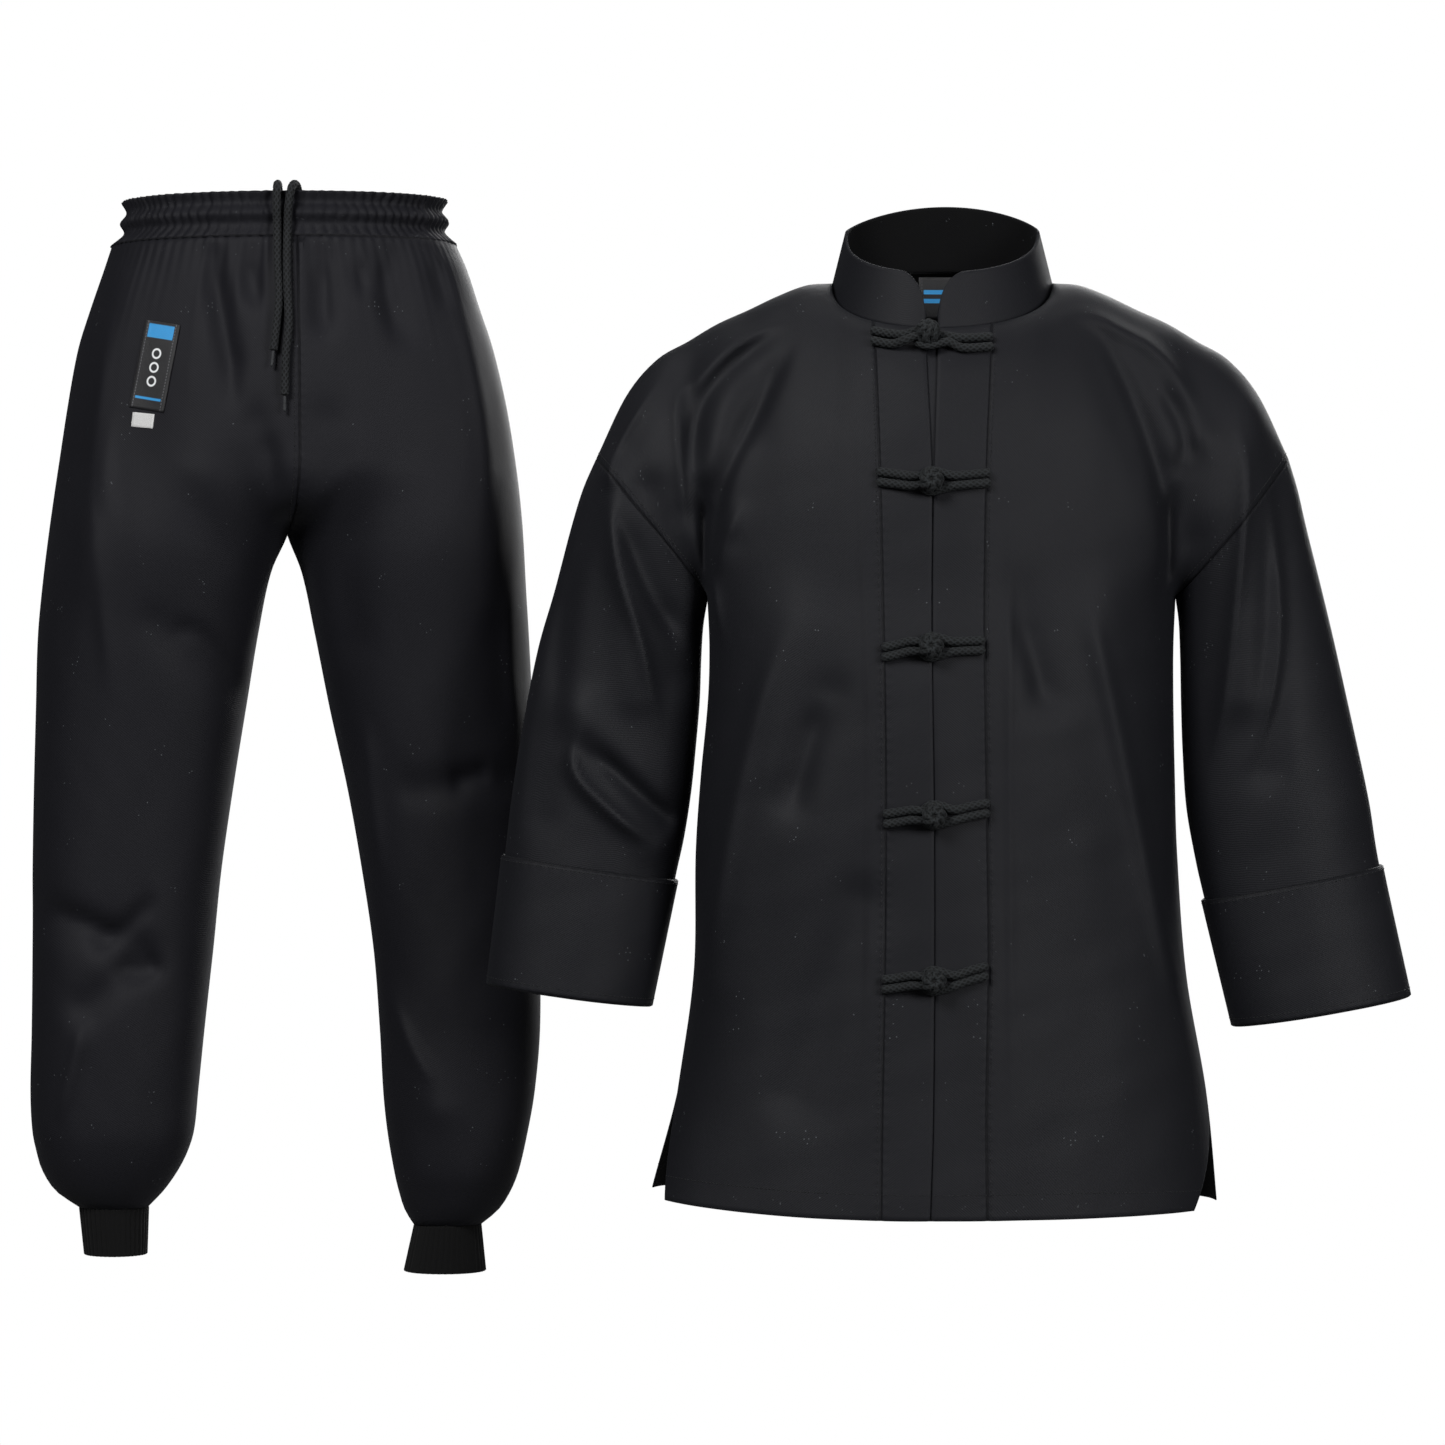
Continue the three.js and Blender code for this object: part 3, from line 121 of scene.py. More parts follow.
# Folds: a ridge (depth above 0) or trough that runs through points (x, z) and fades out at both ends
def fold(depth, width, *path, lean=0.0, crisp=2.0):
    return {"depth": depth, "width": width, "path": path, "lean": lean, "crisp": crisp}


def smoothPath(path, steps):
    corners = np.array([path[0], *path, path[-1]], float)
    corners[0] = 2 * corners[1] - corners[2]
    corners[-1] = 2 * corners[-2] - corners[-3]
    spots = []
    for index in range(1, len(corners) - 2):
        a, b, c, d = corners[index - 1:index + 3]
        for f in np.arange(steps) / steps:
            bend = (2 * a - 5 * b + 4 * c - d) * f**2 + (3 * b - a - 3 * c + d) * f**3
            spots.append((2 * b + (c - a) * f + bend) / 2)
    spots.append(corners[-2])
    return np.array(spots)


def foldHeights(folds, x, z):
    height = np.zeros(np.shape(x))
    for item in folds:
        path = smoothPath(item["path"], 5)
        reach = 3 * item["width"]
        low = path.min(0) - reach
        high = path.max(0) + reach
        near = (x > low[0]) & (x < high[0]) & (z > low[1]) & (z < high[1])
        if not near.any():
            continue
        spot = np.stack([x[near], z[near]], -1)
        away = np.full(len(spot), 1e9)
        along = np.zeros(len(spot))
        side = np.zeros(len(spot))
        pieces = len(path) - 1
        for index in range(pieces):
            run = path[index + 1] - path[index]
            f = np.clip(((spot - path[index]) @ run) / (run @ run), 0, 1)
            gap = spot - path[index] - f[:, None] * run
            distance = np.hypot(gap[:, 0], gap[:, 1])
            closer = distance < away
            away = np.where(closer, distance, away)
            along = np.where(closer, (index + f) / pieces, along)
            side = np.where(closer, np.sign(run[0] * gap[:, 1] - run[1] * gap[:, 0]), side)
        width = item["width"] * (1 + item["lean"] * side)
        ends = smoothStep(-0.02, 0.3, along) * smoothStep(1.02, 0.7, along)
        height[near] += item["depth"] * ends * np.exp(-((away / width) ** item["crisp"]))
    return height


def plainFoldHeights(rows, x, z):
    height = np.zeros(np.shape(x))
    for fromX, fromZ, toX, toZ, width, depth in rows:
        runX, runZ = toX - fromX, toZ - fromZ
        along = np.clip(((x - fromX) * runX + (z - fromZ) * runZ) / (runX**2 + runZ**2), 0, 1)
        away = np.hypot(x - fromX - along * runX, z - fromZ - along * runZ)
        height += depth * np.exp(-((away / width) ** 2))
    return height


# Slight waves all over the cloth, mostly upright
ripple = {"waves": 14, "height": 0.22, "shortest": 22, "longest": 90, "turnSpread": 0.5}


def rippleHeights(x, z, seed):
    chance = np.random.default_rng(seed)
    height = np.zeros(np.shape(x))
    for wave in range(ripple["waves"]):
        length = chance.uniform(ripple["shortest"], ripple["longest"])
        turn = chance.normal(0, ripple["turnSpread"])
        phase = chance.uniform(0, fullTurn)
        across = x * math.cos(turn) + z * math.sin(turn)
        swell = ripple["height"] * length / ripple["longest"]
        height += swell * np.sin(fullTurn * across / length + phase)
    return height


# Moves points out by the large folds that the frame has, and by the finer folds of this script
mainFade = 30
fineFade = 16


def folded(points, middleY, main, fine, gain, seed):
    away = points[..., 1] - middleY
    x, z = points[..., 0], points[..., 2]
    move = np.zeros(away.shape)
    for index, sign in enumerate((-1, 1)):
        here = np.sign(away) == sign
        if not here.any():
            continue
        big = plainFoldHeights(main[index], x, z) * np.clip(np.abs(away) / mainFade, 0, 1)
        small = gain * foldHeights(fine[index], x, z) + rippleHeights(x, z, seed + index)
        small *= smoothStep(0, fineFade, np.abs(away))
        move = np.where(here, sign * (big + small), move)
    moved = points.copy()
    moved[..., 1] += move
    return moved


# Jacket sizes, as in the frame, in millimetres
trunk = {"turn": 0.087, "squareness": 0.8, "underarm": -219, "hem": -644}
trunkSections = table(
    "z left right front back liftRight liftLeft",
    (-644, 193, -205, 126, 120, 10, 1),
    (-566, 185, -185, 120, 114, 5, 0),
    (-484, 171, -173, 117, 108, 2, 0),
    (-397, 164.5, -171.5, 117, 104, 0, 0),
    (-345, 163, -168, 118, 104, 0, 0),
    (-292, 162, -163, 118, 106, 0, 0),
    (-255, 162, -162, 116, 106, 0, 0),
    (-219, 163.5, -163.5, 112, 104, 0, 0),
)
vents = {"right": -484, "left": -566, "swingFront": 0.4, "swingBack": 0.06, "barTack": 0.012}
neck = {
    "angle": math.radians(28), "halfWidth": 77, "sideY": 5, "front": 74, "back": 54,
    "drop": 37, "rise": 13, "curve": 0.8,
}
shoulder = {"tipOut": 242, "round": 2.3, "armDepth": 60, "armSpread": 5}
shoulderLine = table(
    "out z",
    (77, 0), (95, -1.5), (115, -9), (136, -19), (158, -29), (178, -41), (200, -54), (221, -79), (242, -123),
)
bandLines = table(
    "z seamRight edgeRight edgeLeft seamLeft",
    (-34, -50, -14.6, -5.4, 31),
    (-60, -49.4, -15, -7, 30),
    (-137, -47, -12, -9.6, 26),
    (-252, -44.6, -12.4, -11, 24.3),
    (-360, -43.4, -11, -9.6, 25.6),
    (-468, -44, -10.6, -9.2, 27),
    (-576, -46, -11.6, -10.2, 25),
    (-644, -46.8, -13.8, -12.4, 25.4),
)
sleeveRings = {
    "right": table(
        "along outX outZ inX inZ depth",
        (0, -242, -123, -163.5, -219, 60), (1, -251.5, -145, -167, -240, 58),
        (2, -260, -173, -168.5, -264, 56), (3, -271, -215, -169.5, -292, 54),
        (4, -283, -257, -172, -322, 52), (5, -294, -313, -175.5, -356, 50),
        (6, -301.5, -362, -180.5, -388, 48), (7, -306, -401, -187, -418, 47),
        (8, -316.5, -490, -205, -505, 49),
    ),
    "left": table(
        "along outX outZ inX inZ depth",
        (0, 242, -123, 163.5, -219, 60), (1, 248.5, -145, 166, -238, 58), (2, 255, -173, 167, -264, 56),
        (3, 265.5, -215, 167.5, -295, 54), (4, 275.5, -257, 168.5, -327, 52), (5, 288, -313, 171, -366, 50),
        (6, 298.5, -362, 177, -401, 48), (7, 306, -408, 184, -432, 47), (8, 325.5, -498, 205, -519, 49),
    ),
}

# Largest folds, as in the frame: from x, z to x, z, width, depth
jacketMainFront = [
    (-150, -45, -168, -150, 14, 4), (-178, -60, -176, -160, 12, -5), (-166, -150, -162, -205, 12, -7),
    (-140, -125, -162, -230, 14, 5), (-125, -70, -150, -180, 13, -4), (-230, -135, -212, -290, 13, 5),
    (-205, -150, -180, -270, 14, -6), (-255, -300, -200, -390, 16, 6), (-250, -325, -195, -375, 12, -7),
    (-275, -230, -280, -370, 16, -4), (85, -15, 165, -180, 14, -4), (140, -45, 175, -110, 12, 4),
    (163, -135, 160, -210, 12, -7), (212, -90, 205, -290, 14, 5), (232, -125, 222, -340, 14, -5),
    (-105, -240, -165, -480, 20, 5), (-80, -290, -105, -360, 16, -4), (-62, -430, -105, -560, 18, -5),
    (105, -230, 168, -530, 20, 5), (52, -225, 68, -290, 15, -4),
]
jacketMainBack = [
    (-150, -110, -120, -300, 18, -6), (150, -110, 125, -300, 18, -6), (-60, -250, -75, -600, 26, 5),
    (45, -300, 70, -610, 24, -5), (-225, -150, -215, -330, 15, -5), (225, -150, 220, -340, 15, -5),
]

# Finer folds of the jacket's front side and back side
jacketFineFront = [
    fold(2.2, 6, (-103, -25), (-140, -44), (-166, -66), (-178, -84)),
    fold(-2.4, 7, (-112, -34), (-150, -62), (-172, -100), (-176, -150), lean=0.3),
    fold(2.6, 5, (-192, -62), (-228, -120), (-232, -150), crisp=1.5),
    fold(1.8, 5, (-172, -66), (-184, -86), (-183, -130), (-178, -190), crisp=1.4),
    fold(-2.6, 7, (-98, -32), (-128, -92), (-152, -140), (-166, -200), lean=-0.3),
    fold(2.0, 6, (-138, -152), (-156, -196), (-160, -240), crisp=1.5),
    fold(-1.6, 8, (-236, -140), (-262, -222), (-270, -330)),
    fold(2.4, 5, (-232, -144), (-226, -200), (-210, -252), (-196, -318), crisp=1.5),
    fold(-3.0, 8, (-226, -158), (-206, -214), (-180, -258), lean=0.3),
    fold(3.0, 5, (-250, -306), (-256, -340), (-230, -370), (-200, -394), crisp=1.6),
    fold(-2.4, 6, (-246, -322), (-214, -354), (-186, -380)),
    fold(2.0, 6, (76, -16), (112, -32), (150, -56), (174, -96)),
    fold(-2.2, 6, (100, -26), (126, -76), (146, -132), (154, -190)),
    fold(-2.4, 6, (146, -70), (164, -104), (168, -132)),
    fold(2.2, 5, (202, -92), (206, -140), (200, -220), (192, -300), (184, -340), crisp=1.5),
    fold(2.4, 5, (222, -130), (230, -222), (226, -282), (210, -346), crisp=1.5),
    fold(-3.4, 5, (-169, -136), (-167, -168), (-165, -197), (-161, -220), lean=0.3),
    fold(2.6, 4, (-158, -150), (-163, -185), (-160, -222), (-152, -262), crisp=1.5),
    fold(-3.2, 5, (158, -140), (155, -170), (154, -200), (151, -220)),
    fold(1.6, 7, (-107, -238), (-128, -292), (-145, -360), (-158, -428), (-168, -480)),
    fold(-1.6, 9, (-87, -292), (-98, -330), (-110, -374)),
    fold(1.6, 7, (93, -224), (103, -260), (124, -346), (150, -462), (166, -520)),
    fold(-1.4, 8, (45, -224), (58, -266), (66, -300)),
    fold(0.4, 2.4, (-62, -44), (-56, -224), (-53.5, -346), (-54, -469), (-58, -630)),
    fold(0.4, 2.4, (43, -44), (41, -224), (41, -346), (42, -469), (42, -630)),
]
jacketFineBack = [
    fold(-2.5, 9, (-120, -60), (-140, -120), (-150, -200)),
    fold(-2.5, 9, (118, -55), (142, -118), (150, -205)),
    fold(2.2, 7, (-190, -100), (-198, -180), (-206, -290)),
    fold(2.2, 7, (196, -105), (204, -190), (210, -300)),
    fold(-2.6, 8, (-262, -300), (-230, -340), (-196, -372)),
    fold(-2.6, 8, (262, -310), (232, -352), (192, -386)),
    fold(2.0, 12, (-100, -300), (-112, -420), (-130, -560)),
    fold(2.0, 12, (104, -310), (112, -440), (126, -570)),
    fold(-1.8, 12, (-20, -330), (-12, -470), (-18, -600)),
]
jacketFolds = ((jacketMainFront, jacketMainBack), (jacketFineFront, jacketFineBack), 3.0)


# Jacket surface. face is -1 in front and 1 behind, angle runs from the right side seam to the left one, and t
# from 0 at the hem over 1 at the underarm to 2 at the shoulder seam
def trunkPoint(face, z, angle):
    section = read(trunkSections, "z", z)
    depth = section["front" if face < 0 else "back"] * np.clip(np.cos(angle), 0, None) ** trunk["squareness"]
    middle = (section["left"] + section["right"]) / 2
    half = (section["left"] - section["right"]) / 2
    lift = np.where(angle < 0, section["liftRight"], section["liftLeft"])
    y = face * depth
    return point(middle + half * np.sin(angle) + trunk["turn"] * y, y, z + lift * np.sin(angle) ** 2)


def neckline(face, across):
    reach = np.clip(np.cos(across * quarterTurn), 0, None)
    y = neck["sideY"] + face * neck["front" if face < 0 else "back"] * reach
    z = -neck["drop"] * reach ** neck["curve"] if face < 0 else neck["rise"] * reach
    return point(neck["halfWidth"] * np.sin(across * quarterTurn) + trunk["turn"] * y, y, z)


def yokeTop(face, angle):
    spread = np.abs(angle)
    along = np.clip((spread - neck["angle"]) / (quarterTurn - neck["angle"]), 0, 1)
    out = lerp(neck["halfWidth"], shoulder["tipOut"], along)
    y = neck["sideY"] * (1 - along)
    beyond = point(np.sign(angle) * out + trunk["turn"] * y, y, read(shoulderLine, "out", out)["z"])
    inner = neckline(face, np.clip(angle / neck["angle"], -1, 1))
    return np.where((spread <= neck["angle"])[..., None], inner, beyond)


def yokePoint(face, rise, angle):
    base = trunkPoint(face, np.full(np.shape(angle), float(trunk["underarm"])), angle)
    top = yokeTop(face, angle)
    rounding = np.clip(1 - rise ** shoulder["round"], 0, None) ** (1 / shoulder["round"])
    spread = np.abs(np.sin(angle)) ** shoulder["armSpread"]
    arm = shoulder["armDepth"] * spread * 2 * np.sqrt(rise * (1 - rise))
    reach = np.hypot((base[..., 1] - top[..., 1]) * rounding, arm)
    x = lerp(base[..., 0], top[..., 0], rise)
    z = lerp(base[..., 2], top[..., 2], rise)
    return point(x, top[..., 1] + face * reach, z)


def jacketBase(face, t, angle):
    t, angle = np.broadcast_arrays(np.asarray(t, float), np.asarray(angle, float))
    low = trunkPoint(face, lerp(trunk["hem"], trunk["underarm"], np.minimum(t, 1)), angle)
    rise = (1 - np.cos(np.pi * np.clip(t - 1, 0, 1))) / 2
    return np.where((t <= 1)[..., None], low, yokePoint(face, rise, angle))


def jacketPoint(face, t, angle):
    return folded(jacketBase(face, t, angle), 0, *jacketFolds, seed=3)


def solve(measure, target, low, high):
    low = np.full(np.shape(target), float(low))
    high = np.full(np.shape(target), float(high))
    for turn in range(30):
        middle = (low + high) / 2
        below = measure(middle) < target
        low = np.where(below, middle, low)
        high = np.where(below, high, middle)
    return (low + high) / 2


def frontAngle(t, x):
    return solve(lambda angle: jacketBase(-1, t, angle)[..., 0], x, -quarterTurn, quarterTurn)


def bandAngle(t, line):
    z = jacketBase(-1, t, np.zeros(np.shape(t)))[..., 2]
    return frontAngle(t, read(bandLines, "z", z)[line])


def frontRowAt(z):
    return solve(lambda t: jacketBase(-1, t, np.zeros(np.shape(t)))[..., 2], z, 0, 2)


def onFront(x, z, height=0.0):
    x, z = np.broadcast_arrays(np.asarray(x, float), np.asarray(z, float))
    t = frontRowAt(z)
    spot = jacketPoint(-1, t, frontAngle(t, x))
    beside = jacketPoint(-1, t, frontAngle(t, x + 1)) - spot
    higher = frontRowAt(z + 1)
    above = jacketPoint(-1, higher, frontAngle(higher, x)) - spot
    out = unit(np.cross(beside, above))
    return spot + out * np.asarray(height)[..., None], out


def ventOpening(t, side, swing):
    z = lerp(trunk["hem"], trunk["underarm"], np.minimum(t, 1))
    down = np.clip((vents[side] - z) / (vents[side] - trunk["hem"]), 0, 1)
    return np.where(z < vents[side], vents["barTack"] + swing * down**1.3, 0)


# Evens out the bends where two formulas meet, row by row, or column by column on a turned grid
easing = {
    "underarmBlur": 10, "underarmReach": 26, "crotchBlur": 28, "crotchReach": 78, "crotchZ": -158,
    "neckBlur": 15, "neckReach": 10, "neckFrom": (0.9, 1.2), "neckTo": (2, 1.86), "neckEdge": 5,
}


def eased(grid, blur, weight, middle):
    away = runLength(grid[:, middle])
    share = np.gradient(away) * np.exp(-((away[:, None] - away) ** 2) / (2 * blur**2))
    share /= share.sum(1, keepdims=True)
    soft = np.einsum("ij,jkl->ikl", share, grid)
    return lerp(grid, soft, np.asarray(weight)[..., None])


def easedJacket(grid, sideFade):
    middle = grid.shape[1] // 2
    rows = np.exp(-(((grid[:, middle, 2] - trunk["underarm"]) / easing["underarmReach"]) ** 2))
    return eased(grid, easing["underarmBlur"], rows[:, None] * sideFade, middle)


def easedNeck(grid, angles, rows):
    away = np.abs(np.degrees(np.abs(angles)) - math.degrees(neck["angle"]))
    near = np.exp(-((away / easing["neckReach"]) ** 2))
    inYoke = smoothStep(*easing["neckFrom"], rows) * smoothStep(*easing["neckTo"], rows)
    columns = np.arange(grid.shape[1])
    last = columns[-1]
    edges = smoothStep(0, easing["neckEdge"], columns) * smoothStep(last, last - easing["neckEdge"], columns)
    weight = near * inYoke[:, None] * edges
    turned = eased(grid.transpose(1, 0, 2), easing["neckBlur"], weight.T, len(rows) * 4 // 5)
    return turned.transpose(1, 0, 2)


def spacedAngles(stops, counts):
    columns = [stops[0]]
    for index, count in enumerate(counts):
        for step in range(1, count + 1):
            columns.append(lerp(stops[index], stops[index + 1], step / count))
    return np.stack(columns, -1)


def sleevePoint(side, along, angle):
    ring = read(sleeveRings[side], "along", along)
    across = (1 - np.cos(angle)) / 2
    x = lerp(ring["inX"], ring["outX"], across)
    z = lerp(ring["inZ"], ring["outZ"], across)
    return folded(point(x, -ring["depth"] * np.sin(angle), z), 0, *jacketFolds, seed=3)


# Trouser sizes, as in the frame
trouser = {
    "y": 160, "x": -472, "crotch": -170, "squareness": 0.9, "top": 41,
    "waistTurn": -0.17,
    "calm": 16,  # no folds at the waist seam, all of them this far below
}
legSections = {
    "right": table(
        "z outer inner front back edge turn",
        (41, -600.5, -472, 84, 88, 1, -0.17), (23, -606.5, -472, 88, 92, 1, -0.17),
        (-6, -616.5, -472, 94, 98, 1, -0.17), (-35, -625.5, -472, 99, 105, 1, -0.17),
        (-79, -633.5, -472, 103, 112, 1, -0.17), (-123, -640, -472, 105, 115, 1, -0.17),
        (-148, -644, -472, 104, 113, 0.86, -0.16), (-162, -646, -472, 101, 110, 0.5, -0.15),
        (-170, -647, -472, 99, 108, 0, -0.15), (-197, -650.5, -484, 92, 99, 0, -0.14),
        (-240, -654.7, -493, 84, 89, 0, -0.12), (-298, -656.2, -502.5, 77, 80, 0, -0.1),
        (-357, -657.6, -512, 71, 74, 0, -0.08), (-416, -658.4, -520.5, 67, 70, 0, -0.06),
        (-474, -658.4, -526.5, 64, 67, 0, -0.05), (-533, -659, -533, 62, 64, 0, -0.05),
        (-577, -659.8, -537.5, 60, 61, 0, -0.04), (-606, -658.4, -540.5, 58, 58, 0, -0.04),
        (-621, -655.4, -545, 54, 54, 0, -0.03), (-635, -651, -552, 48, 48, 0, -0.02),
        (-650, -641, -562.5, 38, 38, 0, -0.01), (-662, -624, -574, 25, 25, 0, 0),
    ),
    "left": table(
        "z outer inner front back edge turn",
        (41, -349.5, -472, 84, 88, 1, -0.17), (23, -341.5, -472, 88, 92, 1, -0.17),
        (-6, -332, -472, 94, 98, 1, -0.17), (-35, -322.4, -472, 99, 105, 1, -0.17),
        (-79, -312, -472, 103, 112, 1, -0.17), (-123, -305, -472, 105, 115, 1, -0.17),
        (-148, -302, -472, 104, 113, 0.86, -0.16), (-162, -300.7, -472, 101, 110, 0.5, -0.15),
        (-170, -300, -472, 99, 108, 0, -0.15), (-197, -299, -461.5, 92, 99, 0, -0.14),
        (-240, -296, -452.5, 84, 89, 0, -0.12), (-298, -293, -441, 77, 80, 0, -0.1),
        (-357, -291, -428, 71, 74, 0, -0.08), (-416, -288.7, -417.5, 67, 70, 0, -0.06),
        (-474, -287.2, -409, 64, 67, 0, -0.05), (-533, -287.2, -404.4, 62, 64, 0, -0.05),
        (-577, -291, -402, 60, 61, 0, -0.04), (-606, -296, -399, 57, 57, 0, -0.04),
        (-635, -302.6, -394, 51, 51, 0, -0.02), (-650, -308.5, -390.5, 43, 43, 0, -0.01),
        (-664, -317.5, -386, 34, 34, 0, 0), (-674, -329.5, -380, 25, 25, 0, 0),
    ),
}
waistRows = table(
    "z outerRight outerLeft front back gather",
    (72.6, -591, -357.5, 81, 85, 2.2), (65, -588.5, -360.5, 79, 83, 1.2), (57.5, -592.5, -356.3, 84, 88, 1.9),
    (50, -590.5, -358.5, 81, 85, 1.1), (41, -600.5, -349.5, 84, 88, 1.2),
)
gathers = {
    "count": 92, "shortest": 8, "longest": 42, "height": 1.2, "atSeam": 1.2, "least": 0.65, "most": 1.25,
    "fullHeight": 7, "sharpness": 1.2,
}
ankleRibs = {
    "right": table("z outer inner depth", (-662.3, -623.6, -574.4, 24.6), (-696, -620, -575.5, 23)),
    "left": table("z outer inner depth", (-674.3, -330, -379.5, 24.6), (-708, -326.6, -387, 27.5)),
}
trouserMainFront = [
    (-585, 10, -610, -200, 16, 5), (-520, 36, -503, -50, 9, -5), (-492, 36, -486, -5, 9, -3),
    (-440, 36, -438, -22, 11, -4), (-395, 36, -380, -30, 10, -5), (-345, 20, -315, -220, 16, 5),
    (-487, -95, -478, -145, 12, -5), (-500, -130, -505, -185, 13, -5), (-433, -95, -424, -245, 16, -5),
    (-560, -235, -505, -285, 14, -5), (-650, -445, -580, -470, 15, -6), (-570, -480, -612, -512, 13, -5),
    (-375, -355, -315, -350, 13, -4), (-395, -515, -360, -585, 15, 5), (-620, -535, -645, -600, 14, 4),
]
trouserMainBack = [
    (-560, 30, -580, -120, 15, -5), (-400, 30, -380, -120, 15, -5), (-500, -120, -560, -200, 16, -6),
    (-445, -120, -390, -200, 16, -6), (-640, -330, -560, -350, 15, -6), (-310, -330, -390, -350, 15, -6),
]
trouserFineFront = [
    fold(1.6, 7, (-592, 5), (-604, -80), (-610, -150), (-606, -220)),
    fold(-1.8, 8, (-480, -100), (-472, -150), lean=0.2),
    fold(1.6, 6, (-350, 20), (-330, -60), (-320, -130), (-312, -230)),
    fold(-2.2, 7, (-552, -240), (-526, -246), (-500, -290)),
    fold(-2.0, 7, (-644, -440), (-584, -462)),
    fold(1.6, 7, (-412, -300), (-408, -360), (-400, -430)),
    fold(2.0, 9, (-486, -166), (-520, -138), (-562, -118)),
    fold(-2.0, 8, (-492, -184), (-528, -164), (-574, -158)),
    fold(2.0, 9, (-456, -166), (-424, -140), (-386, -116)),
    fold(-2.0, 8, (-450, -184), (-414, -168), (-368, -164)),
    fold(-2.2, 7, (-522, 24), (-516, -2), (-505, -58), (-500, -90)),
    fold(-1.8, 7, (-494, 24), (-488, -10)),
    fold(-1.8, 8, (-441, 24), (-440, -30)),
    fold(-1.8, 6, (-415, 24), (-408, -4)),
    fold(-2.2, 6, (-394, 24), (-396, 3), (-384, -40)),
    fold(-1.8, 6, (-363, 24), (-350, -12)),
    fold(1.8, 6, (-593, -84), (-599, -150), (-598, -218), (-590, -300)),
    fold(1.8, 6, (-301, -178), (-306, -250), (-300, -330)),
    fold(-2.4, 8, (-598, -480), (-572, -488), (-560, -476)),
    fold(1.6, 6, (-612, -520), (-622, -560), (-634, -600)),
    fold(1.4, 5, (-394, -508), (-376, -545), (-356, -572)),
    fold(-2.4, 7, (-560, -430), (-584, -456), (-612, -470)),
    fold(-1.8, 7, (-352, -352), (-318, -340)),
]
trouserFineBack = [
    fold(-2.4, 8, (-490, -110), (-540, -170), (-590, -190)),
    fold(-2.4, 8, (-455, -110), (-410, -165), (-360, -190)),
    fold(2.0, 9, (-590, -20), (-600, -140), (-602, -260)),
    fold(2.0, 9, (-350, -20), (-340, -140), (-335, -260)),
    fold(-2.2, 9, (-632, -470), (-590, -500), (-560, -495)),
    fold(-2.2, 9, (-310, -480), (-350, -505), (-392, -498)),
]
trouserFolds = ((trouserMainFront, trouserMainBack), (trouserFineFront, trouserFineBack), 2.3)
gatherChance = np.random.default_rng(11)
gatherReach = gatherChance.uniform(gathers["shortest"], gathers["longest"], gathers["count"] + 1)
gatherSwell = gatherChance.uniform(gathers["least"], gathers["most"], gathers["count"] + 1)


def gatherWave(angle, wobble):
    place = np.mod(angle / fullTurn, 1) * gathers["count"] + wobble
    number = np.mod(np.floor(place).astype(int), gathers["count"])
    wave = np.sin(math.pi * np.mod(place, 1)) ** gathers["sharpness"]
    return wave, number


def trouserPoint(side, face, z, across):
    z, across = np.broadcast_arrays(np.asarray(z, float), np.asarray(across, float))
    section = read(legSections[side], "z", z)
    inner = np.where(z >= trouser["crotch"], trouser["x"], section["inner"])
    endAngle = np.arcsin(np.clip(section["edge"], 0, 1))
    angle = lerp(math.pi, endAngle, across)
    reach = (1 + np.cos(angle)) / (1 + np.cos(endAngle))
    depth = section["front" if face < 0 else "back"]
    away = face * depth * np.clip(np.sin(angle), 0, None) ** trouser["squareness"]
    plain = point(lerp(section["outer"], inner, reach) + section["turn"] * away, trouser["y"] + away, z)
    base = folded(plain, trouser["y"], *trouserFolds, seed=7)
    base = lerp(plain, base, smoothStep(trouser["top"], trouser["top"] - trouser["calm"], z)[..., None])
    aside = angle if side == "right" else math.pi - angle
    wave, number = gatherWave(math.pi + face * aside, 0)
    below = trouser["top"] - z
    height = gathers["atSeam"] + gathers["height"] * smoothStep(0, gathers["fullHeight"], below)
    height = height * gatherSwell[number] * np.exp(-below / gatherReach[number])
    base[..., 1] += face * height * wave * np.sin(angle)
    return base


# Cloth pieces: a grid of points closed to a wall with a rounded rim
cloth = {"wall": 1.3, "gap": 0.15, "rim": 0.4, "farFromSeam": 60.0}
panels = {}


def gridNormals(grid, closed, inside):
    if closed:
        across = np.roll(grid, -1, 1) - np.roll(grid, 1, 1)
    else:
        across = np.gradient(grid, axis=1)
    normals = unit(np.cross(across, np.gradient(grid, axis=0)))
    flip = (normals * unit(grid - inside)).sum() < 0
    return (-normals if flip else normals), flip


def lengths(grid, axis):
    steps = np.linalg.norm(np.diff(grid, axis=axis), axis=-1)
    zero = np.zeros_like(steps[:1] if axis == 0 else steps[:, :1])
    return np.concatenate([zero, np.cumsum(steps, axis=axis)], axis=axis)


def drawBack(grid, closed, edges, gap):
    grid = grid.copy()
    spots = {"first": (0, 1), "last": (-1, -2)}
    for name in edges:
        if name in spots:
            edge, inner = spots[name]
            grid[edge] += unit(grid[inner] - grid[edge]) * gap
    if not closed:
        for name, (edge, inner) in {"start": (0, 1), "end": (-1, -2)}.items():
            if name in edges:
                grid[:, edge] += unit(grid[:, inner] - grid[:, edge]) * gap
    return grid


def seamFields(grid, closed, edges):
    across, down = lengths(grid, 1), lengths(grid, 0)
    away = np.full(grid.shape[:2], cloth["farFromSeam"])
    along = np.zeros(grid.shape[:2])
    options = {
        "first": (down, across), "last": (down[-1:] - down, across),
        "start": (across, down), "end": (across[:, -1:] - across, down),
    }
    for name in edges:
        distance, run = options[name]
        closer = distance < away
        away = np.where(closer, distance, away)
        along = np.where(closer, run, along)
    return away, along


